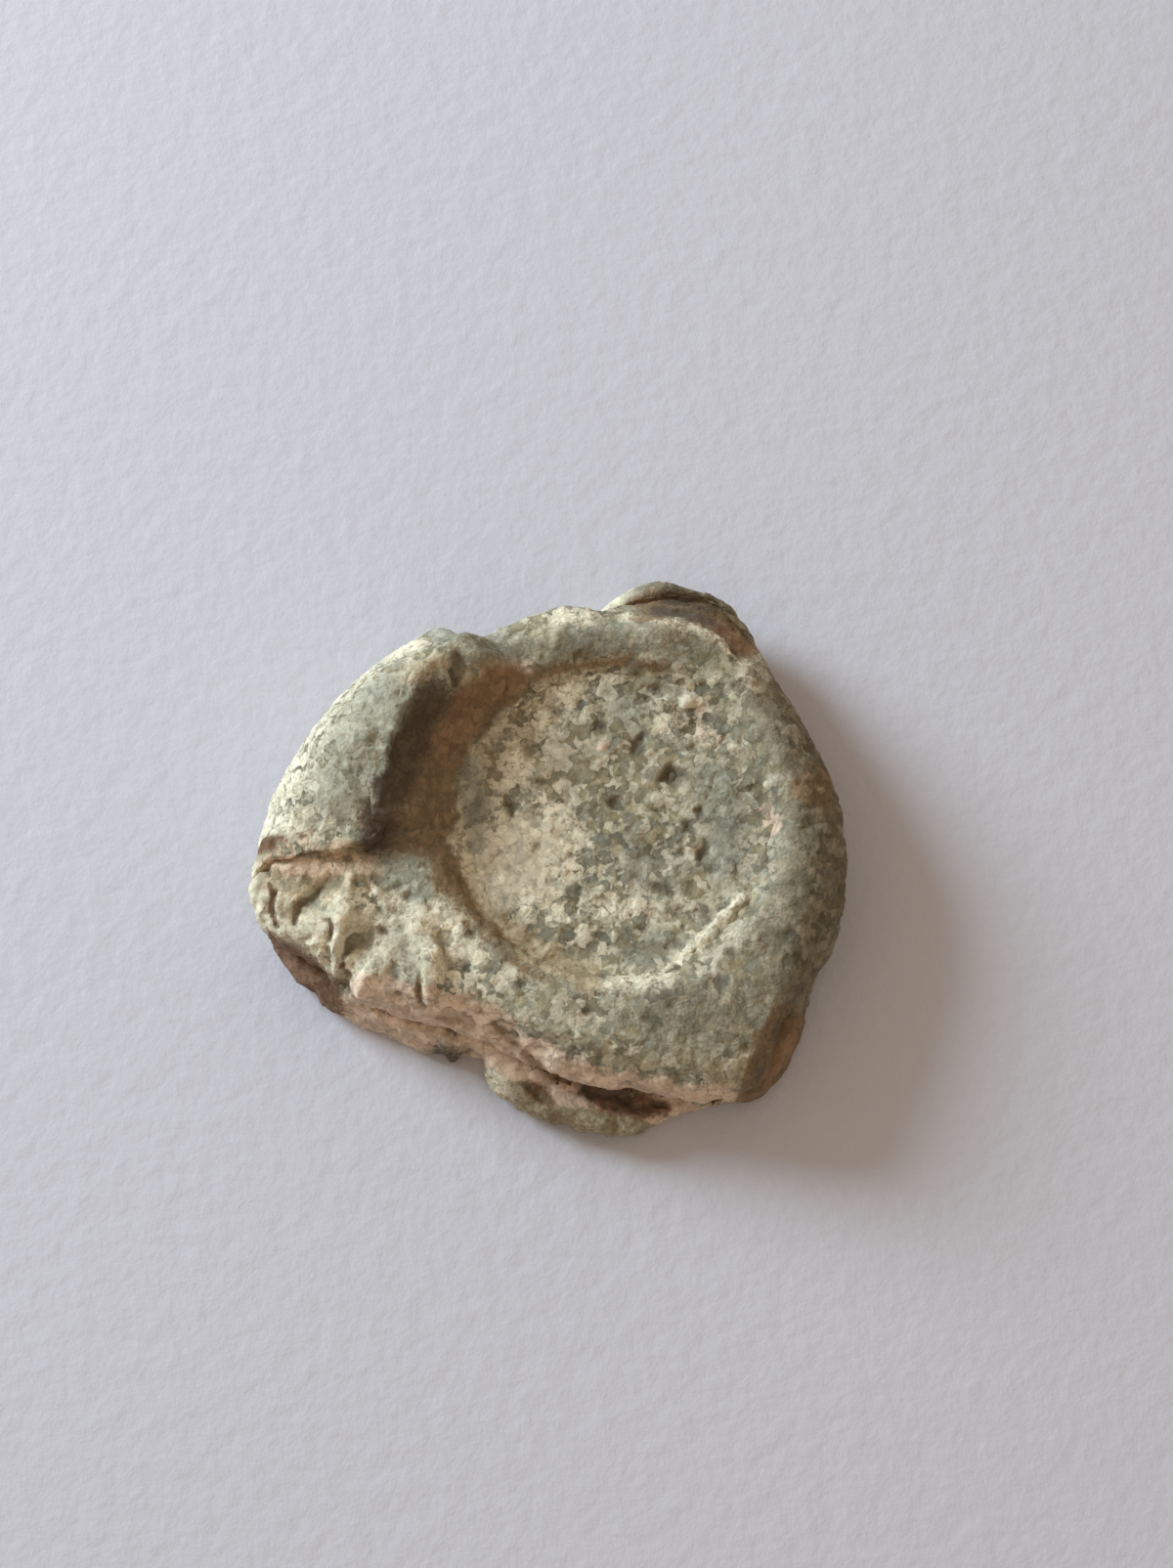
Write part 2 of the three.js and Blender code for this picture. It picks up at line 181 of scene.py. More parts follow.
def add(tree, kind, values=None, **settings):
    """A new node. A value that is a socket is linked, and any other is the socket's constant."""
    node = tree.nodes.new(kind)
    for key, value in settings.items():
        setattr(node, key, value)
    for key, value in (values or {}).items():
        if isinstance(value, bpy.types.NodeSocket):
            tree.links.new(value, node.inputs[key])
        else:
            node.inputs[key].default_value = value
    return node


def maths(tree, operation, *values, clamp=False):
    node = add(tree, "ShaderNodeMath", dict(enumerate(values)), operation=operation, use_clamp=clamp)
    return node.outputs[0]


def between(tree, value, low, high, low_out=0.0, high_out=1.0):
    """value taken from low..high to low_out..high_out, eased at both ends."""
    values = {"Value": value, "From Min": low, "From Max": high, "To Min": low_out, "To Max": high_out}
    node = add(tree, "ShaderNodeMapRange", values, interpolation_type="SMOOTHSTEP")
    return node.outputs["Result"]


def mixed(tree, share, first, second, blend="MIX"):
    """Two colours mixed by a share."""
    node = add(tree, "ShaderNodeMix", data_type="RGBA", blend_type=blend, clamp_factor=True)
    for socket, value in ((node.inputs[0], share), (node.inputs[6], first), (node.inputs[7], second)):
        if isinstance(value, bpy.types.NodeSocket):
            tree.links.new(value, socket)
        else:
            socket.default_value = value
    return node.outputs[2]


def group(name, kind, inputs, outputs):
    """A node group with named sockets: inputs are (name, type, default), outputs (name, type)."""
    tree = bpy.data.node_groups.new(name, kind)
    for label, socket_type, default in inputs:
        socket = tree.interface.new_socket(label, in_out="INPUT", socket_type=socket_type)
        if default is not None:
            socket.default_value = default
    for label, socket_type in outputs:
        tree.interface.new_socket(label, in_out="OUTPUT", socket_type=socket_type)
    return tree, add(tree, "NodeGroupInput").outputs, add(tree, "NodeGroupOutput").inputs


def noise_node(tree, vector, size, seed=0.0, detail=3.0, roughness=0.55):
    """Fractal noise from 0 to 1 whose features are about size wide."""
    scale = maths(tree, "DIVIDE", 1.0, size)
    values = {"Vector": vector, "W": seed, "Scale": scale, "Detail": detail, "Roughness": roughness}
    return add(tree, "ShaderNodeTexNoise", values, noise_dimensions="4D").outputs[0]


def placed(tree, group_tree, values):
    """A shader node group set in a tree, its inputs linked or given their constants."""
    return add(tree, "ShaderNodeGroup", values, node_tree=group_tree).outputs


def shared(name, build):
    """A node group that is built once."""
    return bpy.data.node_groups.get(name) or build()


def swing(tree, value, height):
    """A value from 0 to 1 turned into a height that swings about 0."""
    return maths(tree, "MULTIPLY", maths(tree, "SUBTRACT", value, 0.5), height)


def scaled(tree, vector, factor):
    """A vector times a number."""
    return add(tree, "ShaderNodeVectorMath", {0: vector, "Scale": factor}, operation="SCALE").outputs[0]


def flake_cells(tree, vector, seed, size, detail, bend):
    """Cells about size wide, their edges bent by noise, by bend times the size at most."""
    scale = maths(tree, "DIVIDE", 1.0, size)
    drift = add(
        tree, "ShaderNodeTexNoise", {"Vector": vector, "W": seed, "Scale": scale, "Detail": detail},
        noise_dimensions="4D",
    ).outputs["Color"]
    shift = scaled(tree, drift, maths(tree, "MULTIPLY", size, bend))
    bent = add(tree, "ShaderNodeVectorMath", {0: vector, 1: shift}, operation="ADD").outputs[0]
    values = {"Vector": bent, "W": seed, "Scale": scale}
    return add(tree, "ShaderNodeTexVoronoi", values, voronoi_dimensions="4D").outputs


def scattered(tree, kind, low, high, seed):
    """A random value between low and high for each point, a vector or a number."""
    first = 0 if kind == "FLOAT_VECTOR" else 2
    values = {first: low, first + 1: high, "Seed": seed}
    return add(tree, "FunctionNodeRandomValue", values, data_type=kind).outputs[first // 2]


def end_geometry(tree, geometry, material, out):
    """Ends a geometry tree, with its instances made real and its material set."""
    real = add(tree, "GeometryNodeRealizeInstances", {"Geometry": geometry})
    dressed = add(tree, "GeometryNodeSetMaterial", {"Geometry": real.outputs[0], "Material": material})
    tree.links.new(dressed.outputs[0], out["Geometry"])


def set_inputs(modifier, values):
    """Sets a geometry nodes modifier's inputs, found by their names, through their identifiers."""
    for item in modifier.node_group.interface.items_tree:
        if item.item_type == "SOCKET" and item.in_out == "INPUT" and item.name in values:
            modifier[item.identifier] = values[item.name]


# ---------------------------------------------------------------- mesh helpers


def new_object(name, mesh):
    made = bpy.data.objects.new(name, mesh)
    bpy.context.scene.collection.objects.link(made)
    return made


def applied(piece):
    """The piece with its modifiers made part of its mesh."""
    bpy.context.view_layer.update()
    result = piece.evaluated_get(bpy.context.evaluated_depsgraph_get())
    mesh = bpy.data.meshes.new_from_object(result)
    old = piece.data
    piece.modifiers.clear()
    piece.data = mesh
    bpy.data.meshes.remove(old)
    return piece


def cad_copy(name, node):
    """A new object with the CAD node's mesh, its loose triangles merged."""
    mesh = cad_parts[node].data.copy()
    mesh.materials.clear()
    work = bmesh.new()
    work.from_mesh(mesh)
    bmesh.ops.remove_doubles(work, verts=work.verts, dist=1e-6)
    work.to_mesh(mesh)
    work.free()
    return new_object(name, mesh)


def points_of(mesh):
    """The vertices' places, in millimetres."""
    flat = np.empty(len(mesh.vertices) * 3, np.float32)
    mesh.vertices.foreach_get("co", flat)
    return flat.reshape(-1, 3).astype(float) / MM


def put_points(mesh, points):
    mesh.vertices.foreach_set("co", (points * MM).astype(np.float32).ravel())
    mesh.update()


def normals_of(mesh):
    flat = np.empty(len(mesh.vertices) * 3, np.float32)
    mesh.vertex_normals.foreach_get("vector", flat)
    return flat.reshape(-1, 3).astype(float)


def edges_of(mesh):
    flat = np.empty(len(mesh.edges) * 2, np.int32)
    mesh.edges.foreach_get("vertices", flat)
    return flat.reshape(-1, 2)


def eased(points, edges, rounds):
    """Every point moved to the middle of its neighbours, so many times."""
    count = np.bincount(edges.ravel(), minlength=len(points))
    for _ in range(rounds):
        total = [
            np.bincount(edges[:, 0], points[edges[:, 1], axis], len(points))
            + np.bincount(edges[:, 1], points[edges[:, 0], axis], len(points))
            for axis in range(3)
        ]
        points = np.stack(total, 1) / count[:, None]
    return points


def remeshed(piece, size):
    """The piece's mesh made of even quads about size wide. It is done a thousand times enlarged."""
    piece.data.transform(((1 / MM, 0, 0, 0), (0, 1 / MM, 0, 0), (0, 0, 1 / MM, 0), (0, 0, 0, 1)))
    piece.modifiers.new("Remesh", "REMESH").mode = "VOXEL"
    piece.modifiers["Remesh"].voxel_size = size / MM
    applied(piece)
    piece.data.transform(((MM, 0, 0, 0), (0, MM, 0, 0), (0, 0, MM, 0), (0, 0, 0, 1)))
    return piece


def wobble(points, size, seed=0.0):
    """Noise from about -1 to 1 at each point, with features about size wide."""
    shifted = (points / size + seed * 7.31).tolist()
    return np.array([noise.noise(p) for p in shifted])


def smooth(value, low, high):
    share = np.clip((value - low) / (high - low), 0, 1)
    return share * share * (3 - 2 * share)


# How much a point's x, y and z count in its distance from a path.
HEIGHT_SHARE = (1, 1, 0.4)


def from_path(points, path):
    """How far each point is from a line of points, and where along the line it is, from 0 to 1.

    Heights count for less, so that a path only has to follow the surface roughly.
    """
    points = points * HEIGHT_SHARE
    path = np.array(path, float) * HEIGHT_SHARE
    if len(path) == 1:
        return np.linalg.norm(points - path[0], axis=1), np.full(len(points), 0.5)
    nearest, place = np.full(len(points), 1e9), np.zeros(len(points))
    for index, (start, end) in enumerate(zip(path[:-1], path[1:])):
        along = end - start
        share = np.clip((points - start) @ along / (along @ along), 0, 1)
        away = np.linalg.norm(points - start - share[:, None] * along, axis=1)
        place = np.where(away < nearest, (index + share) / (len(path) - 1), place)
        nearest = np.minimum(nearest, away)
    return nearest, place


def lobe_share(heading, rise, fall, angle):
    turn = (angle - heading + 180) % 360 - 180
    span = np.where(turn < 0, rise, fall)
    return np.where(np.abs(turn) < span, np.cos(np.radians(90 * turn / span)) ** 2, 0)


def polar(points):
    """Each point's radius and its heading in degrees from +X, from 0 to 360."""
    return np.hypot(points[:, 0], points[:, 1]), np.degrees(np.arctan2(points[:, 1], points[:, 0])) % 360


def front_edge(heading):
    """The front disc's radius at a heading."""
    lobes = [reach * lobe_share(at, rise, fall, heading) for at, reach, rise, fall in FRONT_LOBES]
    return DISC_RADIUS + sum(lobes)


def within(value, low, high, soft):
    """1 where value lies between low and high, eased over soft on both sides."""
    return smooth(value, low - soft, low + soft) * (1 - smooth(value, high - soft, high + soft))


# ---------------------------------------------------------------- the worked surface

# Lines worked into the lead, each as its height (below 0 for a crack), its half width, what covers
# it, and its path.
ROLL_LINES = [
    (0.30, 0.35, "rust", [(-12.5, -1.1, 4.3)]),
    (-0.30, 0.30, "grime", [(-5.7, 5.9, 5.6), (-5.7, 5.2, 5.5), (-5.8, 4.8, 5.2)]),
    (0.16, 0.45, "tan", [(-7.4, 4.8, 5.7), (-6.7, 5.4, 5.2)]),
    (0.14, 0.16, "chalk", [(-8.9, 2.5, 6.2)]),
    (0.14, 0.16, "chalk", [(-7.8, 2.7, 6.1)]),
    (0.12, 0.20, "grey", [(-8.1, 1.9, 6.1), (-8.3, 0.9, 6.0), (-8.5, 0.0, 5.7)]),
]
SHOULDER_LINES = [
    (-0.22, 0.15, "rust", [(-12.7, -1.3, 3.8), (-12.7, -1.7, 3.8), (-12.5, -2.2, 3.9)]),
    (-0.28, 0.15, "rust", [
        (-12.5, -2.5, 3.9), (-12.35, -3.0, 3.8), (-12.45, -3.4, 3.7), (-12.25, -4.0, 3.6),
    ]),
    (-0.18, 0.14, "soil", [
        (-10.6, -2.7, 4.0), (-10.9, -3.0, 4.0), (-11.4, -3.3, 3.9), (-11.6, -4.0, 3.7),
    ]),
    (-0.24, 0.13, "rust", [(-10.3, -3.9, 4.2), (-10.15, -4.3, 4.1), (-10.3, -4.7, 4.1)]),
    (-0.30, 0.15, "grime", [(-9.0, -4.4, 4.1), (-9.5, -4.8, 3.9), (-9.8, -5.3, 3.8)]),
    (-0.45, 0.22, "rust", [(-9.8, -5.5, 3.7), (-9.9, -6.0, 3.2), (-9.7, -6.5, 2.5)]),
    (-0.20, 0.13, "soil", [(-7.0, -6.0, 4.3), (-7.05, -6.5, 4.0), (-6.95, -7.0, 3.5)]),
    (-0.16, 0.17, "ochre", [(-4.3, -7.6, 3.2), (-3.5, -8.3, 2.9), (-2.8, -8.9, 2.5), (-2.2, -9.5, 2.0)]),
    (-0.08, 0.16, "ochre", [(-6.4, -7.3, 3.1), (-5.9, -7.4, 3.0), (-5.5, -7.4, 3.0)]),
    (-0.16, 0.20, "soil", [(-8.5, -4.2, 4.1), (-8.2, -4.4, 4.1)]),
    (-0.14, 0.24, "grey", [(-7.9, -5.6, 4.1), (-7.8, -6.3, 4.0)]),
    (0.26, 0.32, "chalk", [
        (-7.1, -4.1, 4.4), (-6.7, -4.8, 4.4), (-6.5, -5.4, 4.3), (-6.6, -6.3, 4.4), (-6.7, -7.0, 3.6),
    ]),
    (0.24, 0.28, "chalk", [(-9.5, -2.4, 4.4), (-9.7, -3.5, 4.4), (-9.9, -4.4, 4.3), (-10.0, -5.5, 3.5)]),
    (0.20, 0.18, "chalk", [(-8.7, -2.7, 4.2), (-8.2, -3.4, 4.2)]),
    (0.24, 0.20, "chalk", [(-11.1, -4.6, 3.6), (-10.7, -4.8, 3.3), (-10.4, -5.6, 2.9)]),
    (0.20, 0.20, "chalk", [(-8.7, -5.6, 4.1), (-9.1, -6.2, 3.8), (-9.2, -6.9, 3.0)]),
    # Chalk and painted highlight on the lobe's left edge, which faces the window.
    (0.18, 0.20, "chalk", [(-13.0, -1.8, 3.9), (-12.9, -3.0, 3.6), (-12.6, -4.0, 3.2)]),
    (0.20, 0.45, None, [(-12.2, -1.9, 4.1), (-10.9, -1.9, 4.1), (-9.5, -1.8, 4.2)]),
]
RIM_LINES = [
    (0.14, 0.5, None, [(-1.8, 7.0, 4.1), (-2.2, 7.2, 4.0)]),
    (0.12, 0.5, None, [(1.8, 6.7, 4.2)]),
    (0.12, 0.4, None, [(4.9, 5.5, 4.1)]),
    # Chalk and painted highlight: the pale streak on the flank at the lower right, which faces the window.
    (0.20, 0.26, "chalk", [(1.85, -5.7, 3.5), (2.8, -4.95, 3.4), (3.75, -3.95, 3.4), (4.7, -2.9, 3.4)]),
    (0.12, 0.25, "chalk", [(6.2, 1.5, 4.0), (5.6, 1.4, 3.6)]),
    (-0.14, 0.25, "grime", [(6.8, -0.2, 4.1), (7.6, -0.3, 4.0)]),
    (-0.12, 0.20, "grime", [(4.1, -5.0, 4.0), (4.3, -5.2, 4.1)]),
    (-0.12, 0.40, "grime", [(7.5, -3.6, 3.9), (7.3, -4.7, 3.9)]),
    (-0.12, 0.25, "grime", [(-5.3, -4.3, 4.0), (-5.1, -4.6, 4.1)]),
]
BACK_LINES = [
    (0.45, 0.48, "stain", [(-6.3, -7.6, 0.8), (-5.6, -7.8, 0.8)]),
    (-0.32, 0.40, "rust", [(-3.0, -9.5, 1.5), (-2.6, -9.8, 1.5), (-2.3, -10.0, 1.5)]),
    (-0.45, 0.55, "rust", [(-1.0, -9.5, 1.5), (-0.2, -9.8, 1.5), (0.7, -10.1, 1.5), (1.8, -10.2, 1.5)]),
]

# Lumps and pits of the crust on the struck field and its pale near edge, each path's points as their
# x and y.
FIELD_LINES = [
    (0.22, 0.32, "chalk", [(-2.8, 4.1), (-2.3, 4.2)]),
    (0.18, 0.28, "chalk", [(2.5, 4.7), (2.9, 4.5)]),
    (0.16, 0.18, "blush", [(-0.5, 2.9), (-0.2, 3.1)]),
    (-0.10, 0.32, "tan", [(-3.0, 3.4), (-3.1, 2.5)]),
    (-0.16, 0.22, "grime", [(-3.9, 1.0), (-3.7, 0.3)]),
    (-0.14, 0.26, "grime", [(-0.6, 3.5), (-0.3, 3.9)]),
    (-0.14, 0.22, "grime", [(1.1, 3.5), (0.9, 2.6)]),
    (-0.32, 0.42, "grime", [(1.9, 1.8), (2.6, 1.9)]),
    (-0.16, 0.20, "grime", [(3.1, 0.3), (3.2, 0.6)]),
    (-0.18, 0.24, "grime", [(3.1, -1.6), (3.4, -0.9)]),
    (-0.12, 0.24, "grime", [(1.4, -2.3), (2.1, -2.7)]),
    (-0.10, 0.28, "grime", [(1.4, 5.2), (2.1, 5.1)]),
    (-0.14, 0.20, "grime", [(-0.2, 0.9), (0.3, 0.6)]),
    # Chalk and painted highlight: the pale streak on the flank at the lower right, which faces the window.
    (0.20, 0.26, "chalk", [(1.85, -5.7), (2.8, -4.95), (3.75, -3.95), (4.7, -2.9)]),
]


def on_field(lines):
    """Lines whose points have no height, laid on the struck field."""
    return [
        (height, width, cover, [(x, y, FIELD_TOP) for x, y in path])
        for height, width, cover, path in lines
    ]


def work_lines(points, normals, lines):
    """Presses cracks and raises ridges. Their paths are a little shaky, and they taper at both ends."""
    shake = 0.18 * wobble(points, 0.7, 3) + 0.16 * wobble(points, 0.3, 4)
    uneven = 1 + 0.5 * wobble(points, 0.4, 8)
    lift = np.zeros(len(points))
    for height, width, _, path in lines:
        away, place = from_path(points, path)
        taper = 0.5 + 0.5 * np.sin(math.pi * place)
        lift += height * taper * np.exp(-((np.maximum(0, away + shake) / (width * taper)) ** 2))
    return points + normals * (lift * uneven)[:, None]


def crust_tree():
    """Geometry nodes that roughen a lead piece with lumps, sandy grains and pits."""
    length = "NodeSocketFloat"
    tree, given, out = group("Lead Crust", "GeometryNodeTree", [
        ("Geometry", "NodeSocketGeometry", None),
        ("Lump Size", length, 0.001), ("Lump Height", length, 0.0001),
        ("Grain Size", length, 0.0003), ("Grain Height", length, 0.00005),
        ("Flake Size", length, 0.0004), ("Flake Height", length, 0.00005),
        ("Pit Spacing", length, 0.0009), ("Pit Depth", length, 0.0001),
        ("Seed", length, 0.0), ("Material", "NodeSocketMaterial", None),
    ], [("Geometry", "NodeSocketGeometry")])
    place = add(tree, "GeometryNodeInputPosition").outputs[0]
    lumps = noise_node(tree, place, given["Lump Size"], given["Seed"], 4, 0.5)
    grains = noise_node(tree, place, given["Grain Size"], given["Seed"], 2, 0.6)
    spacing = maths(tree, "DIVIDE", 1.0, given["Pit Spacing"])
    near = add(
        tree, "ShaderNodeTexVoronoi", {"Vector": place, "W": given["Seed"], "Scale": spacing},
        voronoi_dimensions="4D",
    ).outputs["Distance"]
    pits = between(tree, near, 0.08, 0.34, 1.0, 0.0)
    cells = flake_cells(tree, place, given["Seed"], given["Flake Size"], 2.0, 1.5)
    flakes = add(tree, "FunctionNodeSeparateColor", {0: cells["Color"]}).outputs[0]
    lift = swing(tree, lumps, given["Lump Height"])
    lift = maths(tree, "ADD", lift, swing(tree, grains, given["Grain Height"]))
    lift = maths(tree, "SUBTRACT", lift, maths(tree, "MULTIPLY", pits, given["Pit Depth"]))
    lift = maths(tree, "ADD", lift, swing(tree, flakes, given["Flake Height"]))
    offset = scaled(tree, add(tree, "GeometryNodeInputNormal").outputs[0], lift)
    moved = add(tree, "GeometryNodeSetPosition", {"Geometry": given["Geometry"], "Offset": offset})
    end_geometry(tree, moved.outputs[0], given["Material"], out)
    return tree


def roughened(piece, material, seed, strength=1.0):
    """The crust worked into the piece's mesh."""
    crust = bpy.context.scene.seal.crust
    modifier = piece.modifiers.new("Crust", "NODES")
    modifier.node_group = shared("Lead Crust", crust_tree)
    set_inputs(modifier, {
        "Lump Size": crust.lump_size, "Lump Height": crust.lump_height * strength,
        "Grain Size": crust.grain_size, "Grain Height": crust.grain_height,
        "Flake Size": crust.flake_size, "Flake Height": crust.flake_height,
        "Pit Spacing": crust.pit_size, "Pit Depth": crust.pit_depth * strength,
        "Seed": float(seed), "Material": material,
    })
    return applied(piece)


# ---------------------------------------------------------------- patches of colour

# What covers the crust, in the order in which it was laid: its name, its colour's name, how ragged
# and how soft its edge is, and how much of the crust it hides. Chalk also lays painted highlights,
# and grime, soil and stain lay painted shade.
COVERS = [
    ("chalk", "cream", 0.9, 0.30, 0.94),
    ("grey", "grey", 0.9, 0.30, 0.75),
    ("tan", "tan", 0.9, 0.30, 0.80),
    ("grime", "grime", 0.8, 0.35, 0.75),
    ("blush", "blush", 0.8, 0.30, 0.80),
    ("soil", "soil", 0.9, 0.30, 0.92),
    ("ochre", "ochre", 0.8, 0.45, 0.80),
    ("rust", "rust", 0.6, 0.25, 0.95),
    ("stain", "stain", 0.9, 0.35, 0.90),
]

